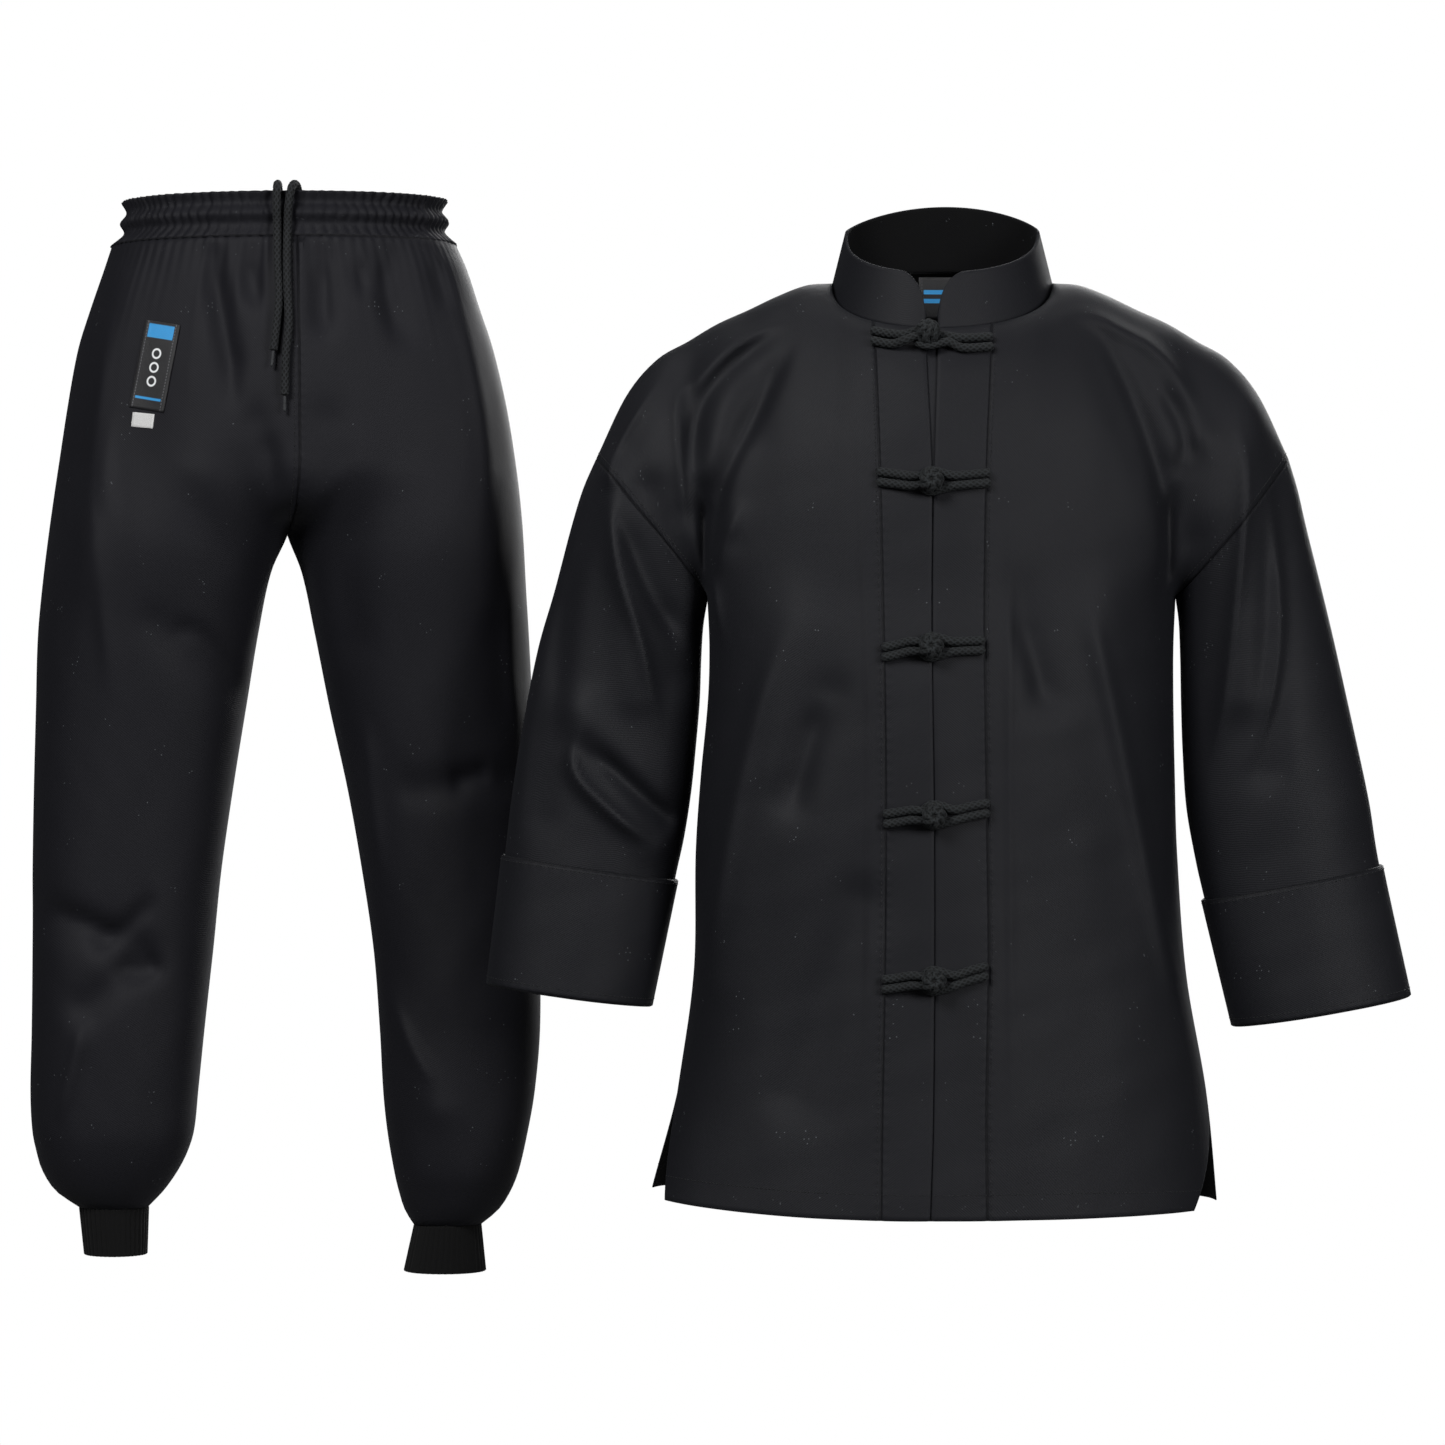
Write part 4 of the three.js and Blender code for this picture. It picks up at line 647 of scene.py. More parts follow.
def makeMesh(name, points, faces, uvs=None, fields=None):
    mesh = bpy.data.meshes.new(name)
    mesh.from_pydata((points * millimetre).tolist(), [], faces)
    if uvs is not None:
        layer = mesh.uv_layers.new(name="cloth")
        layer.data.foreach_set("uv", (uvs * millimetre).astype(np.float32).ravel())
    for title, values in (fields or {}).items():
        attribute = mesh.attributes.new(title, "FLOAT", "POINT")
        attribute.data.foreach_set("value", values.astype(np.float32))
    mesh.shade_smooth()
    piece = bpy.data.objects.new(name, mesh)
    bpy.context.scene.collection.objects.link(piece)
    return piece


def wallMesh(name, grid, inside, wall, closed=False, edges=(), seams=(), gap=None, raised=0.0):
    normals, flip = gridNormals(grid, closed, inside)
    outer = drawBack(grid + normals * raised, closed, edges, cloth["gap"] if gap is None else gap)
    thick = np.broadcast_to(np.asarray(wall, float), grid.shape[:2])[..., None]
    inner = outer - normals * thick
    rows, columns = grid.shape[:2]
    wide = columns if closed else columns - 1
    i, j = np.meshgrid(np.arange(rows - 1), np.arange(wide), indexing="ij")
    corners = [(i, j), (i, j + 1), (i + 1, j + 1), (i + 1, j)]
    vertex = np.stack([a * columns + b % columns for a, b in corners], -1).reshape(-1, 4)
    spots = np.stack([a * (columns + 1) + b for a, b in corners], -1).reshape(-1, 4)
    size = rows * columns
    outerFaces = vertex[:, ::-1] if flip else vertex
    innerFaces = (vertex if flip else vertex[:, ::-1]) + size
    outerSpots = spots[:, ::-1] if flip else spots
    innerSpots = spots if flip else spots[:, ::-1]
    # the rim runs through a middle line that stands out a little
    index = np.arange(size).reshape(rows, columns)
    spotIndex = np.arange(rows * (columns + 1)).reshape(rows, columns + 1)
    if closed:
        top = np.append(index[0], index[0, 0])[::-1]
        foot = np.append(index[-1], index[-1, 0])
        rings = [(top, spotIndex[0][::-1]), (foot, spotIndex[-1])]
    else:
        line = np.concatenate([index[0, ::-1], index[1:, 0], index[-1, 1:], index[-2::-1, -1]])
        used = spotIndex[:, :columns]
        places = np.concatenate([used[0, ::-1], used[1:, 0], used[-1, 1:], used[-2::-1, -1]])
        rings = [(line, places)]
    flatOuter, flatInner = outer.reshape(-1, 3), inner.reshape(-1, 3)
    inward = np.zeros_like(outer)
    inward[0] += unit(outer[0] - outer[1])
    inward[-1] += unit(outer[-1] - outer[-2])
    if not closed:
        inward[:, 0] += unit(outer[:, 0] - outer[:, 1])
        inward[:, -1] += unit(outer[:, -1] - outer[:, -2])
    bulge = unit(inward).reshape(-1, 3) * thick.reshape(-1, 1) * cloth["rim"]
    middlePoints, rimFaces, rimSpots = [], [], []
    start = 2 * size
    for line, places in rings:
        count = len(line) - 1
        own = line[:count]
        middlePoints.append((flatOuter[own] + flatInner[own]) / 2 + bulge[own])
        turn = np.arange(count)
        here, there = start + turn, start + (turn + 1) % count
        pair = [(line[:-1], line[1:], there, here), (here, there, line[1:] + size, line[:-1] + size)]
        for quad in pair:
            quad = np.stack(quad, -1)
            mark = np.stack([places[:-1], places[1:], places[1:], places[:-1]], -1)
            rimFaces.append(quad[:, ::-1] if flip else quad)
            rimSpots.append(mark[:, ::-1] if flip else mark)
        start += count
    away, along = seamFields(grid, closed, seams)
    if closed:
        around = np.concatenate([grid, grid[:, :1]], 1)
        across, down = lengths(around, 1), lengths(around, 0)
    else:
        across, down = lengths(grid, 1), lengths(grid, 0)
        across = across - across[:, columns // 2:columns // 2 + 1]
        across = np.concatenate([across, across[:, -1:]], 1)
        down = np.concatenate([down, down[:, -1:]], 1)
    uvGrid = np.stack([across, -down], -1).reshape(-1, 2)
    points = np.concatenate([flatOuter, flatInner] + middlePoints)
    faces = np.concatenate([outerFaces, innerFaces] + rimFaces)
    marks = np.concatenate([outerSpots, innerSpots] + rimSpots)
    own = np.concatenate([line[:len(line) - 1] for line, places in rings])
    ordinal = np.concatenate([np.arange(size), np.arange(size), own])
    depth = np.concatenate([np.zeros(size), np.ones(size), np.full(len(own), 0.5)])
    fields = {"seamAway": away.ravel()[ordinal], "seamAlong": along.ravel()[ordinal], "inner": depth}
    piece = makeMesh(name, points, faces.tolist(), uvGrid[marks.ravel()], fields)
    panels[name] = {"grid": outer, "normals": normals}
    return piece


def dress(piece, nodes, finish):
    piece.data.materials.clear()
    piece.data.materials.append(finish)
    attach(piece, "root")
    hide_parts(*nodes)


# Half the surface of a solid in the frame, rim included, as the area of its sheet where none is typed
def solidArea(node):
    return round(sum(face.area for face in bpy.data.objects[node].data.polygons) / 2, 4)


# flat is the piece's cut in metres, its width and length along the cloth; it is not used
def dressSheet(piece, node, slot, finish, flat, held, restsOn, area=None):
    dress(piece, [node], finish)
    area or solidArea(node)


# Shader maths in plain arithmetic
class Signal:
    def __init__(self, paint, socket):
        self.paint = paint
        self.socket = socket

    def sum(self, operation, *values):
        return self.paint.node("ShaderNodeMath", {"operation": operation}, dict(enumerate(values)))

    def __add__(self, other):
        return self.sum("ADD", self, other)

    def __sub__(self, other):
        return self.sum("SUBTRACT", self, other)

    def __rsub__(self, other):
        return self.sum("SUBTRACT", other, self)

    def __mul__(self, other):
        return self.sum("MULTIPLY", self, other)

    def __truediv__(self, other):
        return self.sum("DIVIDE", self, other)

    def __pow__(self, other):
        return self.sum("POWER", self, other)

    __radd__ = __add__
    __rmul__ = __mul__

    def wave(self):
        return self.sum("SINE", self)

    def above(self, other):
        return self.sum("GREATER_THAN", self, other)

    def atMost(self, other):
        return self.sum("MINIMUM", self, other)

    def part(self):
        return self.sum("FRACT", self)

    def size(self):
        return self.sum("ABSOLUTE", self)

    def between(self, low, high):
        settings = {"interpolation_type": "SMOOTHSTEP"}
        return self.paint.node("ShaderNodeMapRange", settings, {0: self, 1: low, 2: high, 3: 0.0, 4: 1.0})


class Paint:
    def __init__(self, name):
        self.material = bpy.data.materials.new(name)
        self.material.use_nodes = True
        self.tree = self.material.node_tree
        self.shader = self.tree.nodes["Principled BSDF"]

    def node(self, kind, settings=None, values=None, out=0):
        made = self.tree.nodes.new(kind)
        for key, value in (settings or {}).items():
            setattr(made, key, value)
        for key, value in (values or {}).items():
            self.put(made.inputs[key], value)
        return Signal(self, made.outputs[out])

    def put(self, socket, value):
        if isinstance(value, Signal):
            self.tree.links.new(value.socket, socket)
        elif hasattr(value, "__len__") and len(value) == 3 and len(socket.default_value) == 4:
            socket.default_value = (*value, 1)
        else:
            socket.default_value = value

    def set(self, **values):
        for title, value in values.items():
            self.put(self.shader.inputs[title.replace("_", " ")], value)

    def uv(self):
        return self.node("ShaderNodeTexCoord", out="UV")

    def place(self):
        return self.node("ShaderNodeTexCoord", out="Object")

    def field(self, name):
        return self.node("ShaderNodeAttribute", {"attribute_name": name}, out="Fac")

    def split(self, vector):
        made = self.node("ShaderNodeSeparateXYZ", None, {0: vector})
        outs = made.socket.node.outputs
        return [Signal(self, outs[index]) for index in range(3)]

    def noise(self, vector, scale, detail=2.0, roughness=0.5):
        values = {"Vector": vector, "Scale": scale, "Detail": detail, "Roughness": roughness}
        return self.node("ShaderNodeTexNoise", None, values)

    def blend(self, factor, low, high):
        made = self.tree.nodes.new("ShaderNodeMix")
        made.data_type = "RGBA"
        self.put(made.inputs[0], factor)
        self.put(made.inputs[6], low)
        self.put(made.inputs[7], high)
        return Signal(self, made.outputs[2])

    def bump(self, height, distance, strength=1.0):
        values = {"Height": height, "Distance": distance, "Strength": strength}
        self.set(Normal=self.node("ShaderNodeBump", None, values))


def shade(colour, factor):
    return tuple(part * factor for part in colour)


def twillMaterial(name, look):
    paint = Paint(name)
    uv = paint.uv()
    u, v = paint.split(uv)[:2]
    wobble = paint.noise(uv, 60, 3)
    cloud = paint.noise(uv, 9, 4, 0.6)
    grain = paint.noise(uv, 1800, 2)
    fleck = paint.noise(uv, 620, 2)
    slant = (u * 0.62 + v * 0.78) * (fullTurn / look["wale"]) + wobble * 5
    wale = slant.wave() * 0.5 + 0.5
    away = paint.field("seamAway")
    along = paint.field("seamAlong")
    pucker = (along * (fullTurn / look["pucker"]) + cloud * 9).wave()
    pucker = pucker * (1 - away.between(1.5, 7)) * away.between(0, 1.5)
    groove = 1 - away.between(0.1, 1.4)
    inner = paint.field("inner")
    speckSpot = paint.node("ShaderNodeTexVoronoi", None, {"Vector": uv, "Scale": 260.0})
    speckPick = paint.noise(uv, 46, 0)
    speck = (1 - speckSpot.between(0.06, 0.16)) * speckPick.between(0.68, 0.72)
    tone = wale * 0.35 + grain * 0.5 + fleck * 0.7 + cloud * 0.4 - 0.45
    colour = paint.blend(tone, look["dark"], look["light"])
    # painted shade: the cloth colour is darkened inside the seam groove
    colour = paint.blend(groove * 0.6, colour, shade(look["dark"], 0.5))
    # painted shade: the inner face of the cloth is painted far darker than the outer face
    colour = paint.blend(inner.between(0.55, 0.95), colour, shade(look["dark"], 0.2))
    colour = paint.blend(speck * 0.8, colour, look["lint"])
    rough = cloud * 0.14 + look["rough"] - grain * 0.06 + inner * 0.3
    paint.set(Base_Color=colour, Roughness=rough.atMost(1.0))
    paint.shader.inputs["Sheen Weight"].default_value = look["sheen"]
    paint.shader.inputs["Sheen Roughness"].default_value = 0.45
    paint.shader.inputs["Sheen Tint"].default_value = (*look["sheenTint"], 1)
    paint.shader.inputs["Specular IOR Level"].default_value = look["specular"]
    creases = paint.noise(uv, 34, 3, 0.55)
    height = wale * 0.09 + grain * 0.07 + pucker * 0.13 - groove * 0.4 + creases * 0.4
    paint.bump(height, 0.0009, 0.75)
    return paint.material


jacketLook = {
    "dark": (0.0035, 0.0037, 0.0055), "light": (0.0118, 0.0122, 0.0158), "lint": (0.12, 0.13, 0.14),
    "wale": 0.0013, "pucker": 7.5, "rough": 0.6, "specular": 0.25,
    "sheen": 0.02, "sheenTint": (0.6, 0.65, 0.75),
}
trouserLook = {
    **jacketLook, "dark": (0.0035, 0.0035, 0.0056), "light": (0.0118, 0.0118, 0.0162), "rough": 0.64,
}
jacketCloth = twillMaterial("jacket_twill", jacketLook)
trouserCloth = twillMaterial("trouser_twill", trouserLook)


def yarnMaterial(name, dark, light, rough, sheen=0.03):
    paint = Paint(name)
    place = paint.place()
    fibre = paint.noise(place, 2600, 2)
    cloud = paint.noise(place, 120, 3)
    weave = paint.field("weave")
    # painted light: the weave field lightens the strand crowns and paints shade into the gaps between
    # strands; parts without strands, the knot's core ball and the stitches, carry weave 0 and take the
    # darkest colour all over
    colour = paint.blend(fibre * 0.5 + cloud * 0.3 + weave * 0.25, dark, light)
    colour = paint.blend(weave.between(0.55, 0.05), colour, shade(dark, 0.35))
    paint.set(Base_Color=colour, Roughness=fibre * 0.2 + rough)
    paint.shader.inputs["Sheen Weight"].default_value = sheen
    paint.shader.inputs["Specular IOR Level"].default_value = 0.4
    paint.bump(fibre, 0.0002, 0.6)
    return paint.material


frogYarn = yarnMaterial("frog_yarn", (0.005, 0.006, 0.0068), (0.023, 0.027, 0.0295), 0.75)
drawcordYarn = yarnMaterial("drawcord_yarn", (0.005, 0.0058, 0.0066), (0.024, 0.0265, 0.0298), 0.75)
threadYarn = yarnMaterial("sewing_thread", (0.014, 0.015, 0.017), (0.032, 0.034, 0.038), 0.55)
stitchYarn = yarnMaterial("stitch_thread", (0.026, 0.028, 0.032), (0.07, 0.074, 0.082), 0.5)
ribYarn = yarnMaterial("rib_yarn", (0.0012, 0.0012, 0.0017), (0.0035, 0.0035, 0.0044), 0.9)
print("materials made")


# Cords: a tube along a line of points, its surface braided from slanting strands
def transport(line):
    run = unit(np.gradient(line, axis=0))
    side = np.cross(run[0], (0.0, 0.0, 1.0))
    if np.linalg.norm(side) < 0.3:
        side = np.cross(run[0], (0.0, 1.0, 0.0))
    across = [unit(side)]
    for index in range(1, len(line)):
        turned = across[-1] - run[index] * (across[-1] @ run[index])
        across.append(unit(turned))
    across = np.array(across)
    return run, across, np.cross(run, across)


def evenly(path, spacing, fine=12):
    line = smoothPath(path, fine)
    away = runLength(line)
    count = max(int(away[-1] / spacing), 4)
    spots = np.linspace(0, away[-1], count + 1)
    return pointsAt(spots, away, line), spots


def ringFaces(rings, count, ends=True):
    i, j = np.meshgrid(np.arange(rings - 1), np.arange(count), indexing="ij")
    k = (j + 1) % count
    quads = np.stack([i * count + j, i * count + k, (i + 1) * count + k, (i + 1) * count + j], -1)
    faces = quads.reshape(-1, 4).tolist()
    if ends:
        faces.append(list(range(count))[::-1])
        faces.append([(rings - 1) * count + j for j in range(count)])
    return faces


def tubeMesh(line, spots, radius, braid, roundEnds=True):
    run, across, up = transport(line)
    angle = circle(braid["sides"])
    radius = np.broadcast_to(np.asarray(radius, float), spots.shape)[:, None]
    turn = braid["strands"] * angle[None, :]
    pitch = fullTurn * spots[:, None] / braid["pitch"]
    weave = np.maximum(np.sin(turn + pitch), np.sin(turn - pitch))
    size = radius + braid["height"] * (weave - 0.6)
    if roundEnds:
        near = np.minimum(spots, spots[-1] - spots)[:, None]
        size = size * np.sqrt(np.clip(1 - np.clip(1 - near / radius, 0, 1) ** 2, 0.02, 1))
    ring = line[:, None] + size[..., None] * (
        np.cos(angle)[None, :, None] * across[:, None] + np.sin(angle)[None, :, None] * up[:, None])
    faces = ringFaces(len(line), braid["sides"])
    return ring.reshape(-1, 3), faces, np.broadcast_to(weave, size.shape).ravel()


def mergeParts(parts):
    points, faces, weaves, start = [], [], [], 0
    for part in parts:
        points.append(part[0])
        faces.extend([[corner + start for corner in face] for face in part[1]])
        weaves.append(part[2] if len(part) > 2 else np.zeros(len(part[0])))
        start += len(part[0])
    return np.concatenate(points), faces, np.concatenate(weaves)


def makeBraid(name, parts):
    points, faces, weave = mergeParts(parts)
    return makeMesh(name, points, faces, None, {"weave": weave})


# Drawcord: two free ends that leave the waist channel inside, pass over the frill and hang down in front
drawcord = {
    "radius": 2.9, "diameter": 0.0058, "spacing": 0.5, "routePoints": 36,
    "sides": 20, "strands": 5, "pitch": 4.6, "height": 0.45,
}
drawcordRoutes = {
    "right": [
        (-472, -9, 58), (-472, -9, 68), (-472, -3, 77.5), (-472, 5.5, 75), (-472, 8.5, 62), (-471.8, 5.5, 46),
        (-471, 4.4, 20), (-469.5, 4.4, -4), (-471, 4.4, -25), (-472.6, 4.4, -43),
    ],
    "left": [
        (-456, -9, 58), (-457, -9, 68), (-459, -3, 77.5), (-461.5, 5.5, 75), (-463.5, 8.5, 62),
        (-464.4, 5.5, 46), (-463.6, 4.4, 20), (-463, 4.4, -4), (-462, 4.4, -25), (-464, 4.4, -48),
        (-464.4, 4.4, -75),
    ],
}
aglet = {"radius": 1.2, "length": 12, "wraps": 9, "spacing": 0.35, "stops": (0.3, 4, 8, 12.3)}
agletWrap = {"sides": 14, "strands": 0, "pitch": aglet["length"] / aglet["wraps"], "height": 0.12}


def waistPoint(z, angle):
    ring = read(waistRows, "z", z)
    middle = (ring["outerRight"] + ring["outerLeft"]) / 2
    half = (ring["outerLeft"] - ring["outerRight"]) / 2
    bulge = np.sign(np.sin(angle)) * np.abs(np.sin(angle)) ** trouser["squareness"]
    away = -bulge * np.where(bulge > 0, ring["front"], ring["back"])
    return point(middle - half * np.cos(angle) + trouser["waistTurn"] * away, trouser["y"] + away, ring["z"])


def onTrousers(x, z, height=0.0):
    x, z = np.broadcast_arrays(np.asarray(x, float), np.asarray(z, float))

    def surface(x, z):
        found = {}
        for side, sign in sides.items():
            place = solve(lambda f: sign * -trouserPoint(side, -1, z, f)[..., 0], sign * -x, 0, 1)
            found[side] = trouserPoint(side, -1, z, place)
        seam = trouserPoint("right", -1, z, np.ones(np.shape(z)))[..., 0]
        return np.where((x < seam)[..., None], found["right"], found["left"])

    spot = surface(x, z)
    out = unit(np.cross(surface(x + 1, z) - spot, surface(x, z + 1) - spot))
    return spot + out * np.asarray(height)[..., None], out


def cordPlace(x, out, z):
    if z < waistRows["z"][-1]:
        return onTrousers(x, z, out)[0]
    return np.array([x, waistPoint(min(z, waistRows["z"][0]), quarterTurn)[1] - out, z])


for side in sides:
    path = [cordPlace(*place) for place in drawcordRoutes[side]]
    line, spots = evenly(path, drawcord["spacing"])
    tube = tubeMesh(line, spots, drawcord["radius"], drawcord, roundEnds=False)
    cord = makeBraid(f"drawcord_{side}_braid", [tube])
    dress(cord, [f"drawcord_{side}"], drawcordYarn)
    along = unit(line[-1] - line[-4])
    tip = np.array([line[-1] + along * step for step in aglet["stops"]])
    tipLine, tipSpots = evenly(tip, aglet["spacing"], 4)
    end = makeBraid(f"aglet_{side}_tip", [tubeMesh(tipLine, tipSpots, aglet["radius"], agletWrap)])
    dress(end, [f"aglet_{side}"], threadYarn)
    route = line[::max(len(line) // drawcord["routePoints"], 1)]
    route = np.concatenate([route, line[-1:]])


# Jacket panels
jacket = {
    "trunkRows": 138, "yokeRows": 70, "shoulderColumns": 50, "neckColumns": 18, "bandColumns": 14,
    "backNeckColumns": 30, "frontFade": 0.3, "backFade": 0.15,
    "frontCut": {"right": (0.293, 0.694), "left": (0.308, 0.694)},
    "bandCut": {"right": (0.039, 0.634), "left": (0.038, 0.629)},
    "backCut": (0.644, 0.688),
}
jacketRows = np.concatenate([
    np.linspace(0, 1, jacket["trunkRows"] + 1), 1 + np.linspace(0, 1, jacket["yokeRows"] + 1)[1:],
])
chest = np.array([0, 0, -300])
seamEdges = ("start", "end", "last")
jacketFinish = ("jacket_cloth", jacketCloth)


def frontAngles(side, rows):
    sign = sides[side]
    edge = sign * (quarterTurn - ventOpening(rows, side, vents["swingFront"]))
    seam = bandAngle(rows, "seam" + side.capitalize())
    return spacedAngles([edge, np.full(rows.shape, sign * neck["angle"]), seam],
                        [jacket["shoulderColumns"], jacket["neckColumns"]])


def bandAngles(side, rows):
    stops = [bandAngle(rows, line + side.capitalize()) for line in ("seam", "edge")]
    return spacedAngles(stops, [jacket["bandColumns"]])


def backAngles(rows):
    right = -quarterTurn + ventOpening(rows, "right", vents["swingBack"])
    left = quarterTurn - ventOpening(rows, "left", vents["swingBack"])
    stops = [right, np.full(rows.shape, -neck["angle"]), np.full(rows.shape, neck["angle"]), left]
    counts = [jacket["shoulderColumns"], jacket["backNeckColumns"], jacket["shoulderColumns"]]
    return spacedAngles(stops, counts)


for side in sides:
    angles = frontAngles(side, jacketRows)
    front = easedNeck(jacketPoint(-1, jacketRows[:, None], angles), angles, jacketRows)
    front = easedJacket(front, smoothStep(0, jacket["frontFade"], np.linspace(0, 1, front.shape[1])))
    name = f"jacket_front_{side}"
    piece = wallMesh(f"{name}_twill", front, chest, cloth["wall"], edges=seamEdges, seams=seamEdges)
    dressSheet(piece, name, *jacketFinish, jacket["frontCut"][side], "hung", "collar_band")
    band = jacketPoint(-1, jacketRows[:, None], bandAngles(side, jacketRows))
    band = easedJacket(band, 1.0)
    piece = wallMesh(f"front_band_{side}_twill", band, chest, cloth["wall"],
                     edges=("start", "last"), seams=("start",))
    dressSheet(piece, f"front_band_{side}", *jacketFinish, jacket["bandCut"][side], "hung", f"{name}_twill")

angles = backAngles(jacketRows)
back = easedNeck(jacketPoint(1, jacketRows[:, None], angles), angles, jacketRows)
fromSide = np.linspace(0, 1, back.shape[1])
backFade = jacket["backFade"]
back = easedJacket(back, smoothStep(0, backFade, fromSide) * smoothStep(1, 1 - backFade, fromSide))
piece = wallMesh("jacket_back_twill", back, chest, cloth["wall"], edges=seamEdges, seams=seamEdges)
dressSheet(piece, "jacket_back", *jacketFinish, jacket["backCut"], "hung", "collar_band")


# Its top reaches behind the first knot, about 30 mm higher than the solid's
underlap = {"right": 14, "left": 8, "top": 0.95, "columns": 8, "raised": -1.9, "cut": (0.031, 0.603)}
topT = 1 + math.acos(1 - 2 * underlap["top"]) / math.pi
rows = jacketRows[jacketRows < topT]
z = jacketBase(-1, rows, np.zeros(rows.shape))[..., 2]
edgeRows = read(bandLines, "z", z)
stops = [
    frontAngle(rows, edgeRows["edgeRight"] - underlap["right"]),
    frontAngle(rows, edgeRows["edgeLeft"] + underlap["left"]),
]
flap = jacketPoint(-1, rows[:, None], spacedAngles(stops, [underlap["columns"]]))
piece = wallMesh("front_underlap_twill", flap, chest, cloth["wall"], raised=underlap["raised"])
dressSheet(piece, "front_underlap", *jacketFinish, underlap["cut"], "hung", "front_band_left_twill")
print("jacket body made")


# Places along a sleeve count its rings: the cuff runs from ring 7 to ring 8
sleeve = {
    "armholeGap": 0.6, "hem": 7.12, "cuffWall": 2.2, "cuffRaised": 2.6, "cuffFrom": 7, "cuffTo": 8,
    "rows": 92, "columns": 112, "cuffRows": 30, "fine": 200, "insideX": 225, "insideZ": -300,
    "cut": {"right": (0.386, 0.294), "left": (0.389, 0.301)},
    "cuffCut": {"right": (0.354, 0.09), "left": (0.364, 0.092)},
    "cuffArea": {"right": 0.0313, "left": 0.0328},
}


def sleeveAlong(side, start, end, count):
    fine = np.linspace(start, end, sleeve["fine"])
    ring = read(sleeveRings[side], "along", fine)
    middle = np.stack([(ring["inX"] + ring["outX"]) / 2, (ring["inZ"] + ring["outZ"]) / 2], -1)
    away = runLength(middle)
    return np.interp(np.linspace(0, away[-1], count + 1), away, fine)


for side in sides:
    turns = circle(sleeve["columns"])
    inside = np.array([sides[side] * sleeve["insideX"], 0, sleeve["insideZ"]])
    tube = sleevePoint(side, sleeveAlong(side, 0, sleeve["hem"], sleeve["rows"])[:, None], turns)
    piece = wallMesh(f"sleeve_{side}_twill", tube, inside, cloth["wall"], closed=True, edges=("first",),
                     seams=("first",), gap=sleeve["armholeGap"])
    dressSheet(piece, f"sleeve_{side}", *jacketFinish, sleeve["cut"][side], "hung",
               f"jacket_front_{side}_twill")
    along = sleeveAlong(side, sleeve["cuffFrom"], sleeve["cuffTo"], sleeve["cuffRows"])
    ring = sleevePoint(side, along[:, None], turns)
    piece = wallMesh(f"sleeve_cuff_{side}_twill", ring, inside, sleeve["cuffWall"], closed=True,
                     raised=sleeve["cuffRaised"], seams=("first", "last"))
    dressSheet(piece, f"sleeve_cuff_{side}", *jacketFinish, sleeve["cuffCut"][side], "hung",
               f"sleeve_{side}_twill", sleeve["cuffArea"][side])


collar = {
    "back": 45, "side": 36, "front": 38, "leanIn": 9, "leanFront": 5, "endRound": 22, "endLow": 8,
    "rows": 22, "columns": 240, "fine": 200, "wall": 2.2, "standOff": 0.3, "cut": (0.462, 0.045),
    "inside": (0, 0, 10),
}


def collarGrid():
    top = np.array([2.0])
    right = float(bandAngle(top, "edgeRight")[0]) / neck["angle"]
    left = float(bandAngle(top, "edgeLeft")[0]) / neck["angle"]
    fine = collar["fine"]
    across = np.concatenate([
        np.linspace(right, -1, fine), np.linspace(-1, 1, 2 * fine)[1:], np.linspace(1, left, fine)[1:],
    ])
    face = np.repeat([-1, 1, -1], [fine, 2 * fine - 1, fine - 1])
    feet = np.where((face < 0)[:, None], neckline(-1, across), neckline(1, across))
    away = runLength(feet)
    spots = np.linspace(0, away[-1], collar["columns"] + 1)
    feet = pointsAt(spots, away, feet)
    forward = np.interp(spots, away, face * np.cos(across * quarterTurn))
    sideways = np.interp(spots, away, np.sin(across * quarterTurn))
    tall = lerp(collar["side"], np.where(forward < 0, collar["front"], collar["back"]), forward**2)
    fromEnd = np.minimum(spots, away[-1] - spots)
    short = np.clip(1 - fromEnd / collar["endRound"], 0, 1)
    highest = collar["endLow"] + (tall - collar["endLow"]) * np.sqrt(1 - short**2)
    up = np.linspace(1, 0, collar["rows"] + 1)[:, None]
    rise = up * highest
    lean = rise / tall
    x = feet[:, 0] - collar["leanIn"] * lean * sideways
    y = feet[:, 1] - collar["leanFront"] * lean * np.minimum(forward, 0)
    return point(x, y, feet[:, 2] + collar["standOff"] + rise)


piece = wallMesh("collar_band", collarGrid(), np.array(collar["inside"]), collar["wall"])
dressSheet(piece, "collar", *jacketFinish, collar["cut"], "hung", "jacket_back_twill")
print("sleeves and collar made")


# Frog fasteners
frogs = table(
    "x z endRight endLeft tiltRight tiltLeft lift",
    (-13.8, -41.5, -52, 31, -1, -3, 1.4), (-11.9, -143.5, -49, 28, 0, 0, 0), (-12.6, -256, -46, 24, -4, 1, 0),
    (-10.9, -370.4, -45, 27, -3, 5, 0), (-11.2, -482.1, -46, 26, -3, 7, 0),
)
frog = {
    "knotHeight": 9.2, "spread": 3.35, "height": 3.4, "runOut": 24, "spacing": 0.5,
    "loopRadius": 7.7, "loopHeight": 3, "neckOut": 14, "neckSpread": 3.65,
    "knotCord": ([0, 0.35, 0.65, 0.85, 1], [3, 3, 3, 2.5, 2.2]),  # share of the cord, radius
    "loopCord": ([0, 0.3, 0.4, 0.6, 0.7, 1], [3, 2.9, 2.3, 2.3, 2.9, 3]),
}
frogRise = [(15.5, 5.2, 1), (9, 8.2, 0.95), (2.5, 8.6, 0.8)]  # out, height, narrow
frogBraid = {"sides": 20, "strands": 5, "pitch": 4.4, "height": 0.5}
loopDegrees = [60, 95, 130, 165, 195, 230, 265, 300]
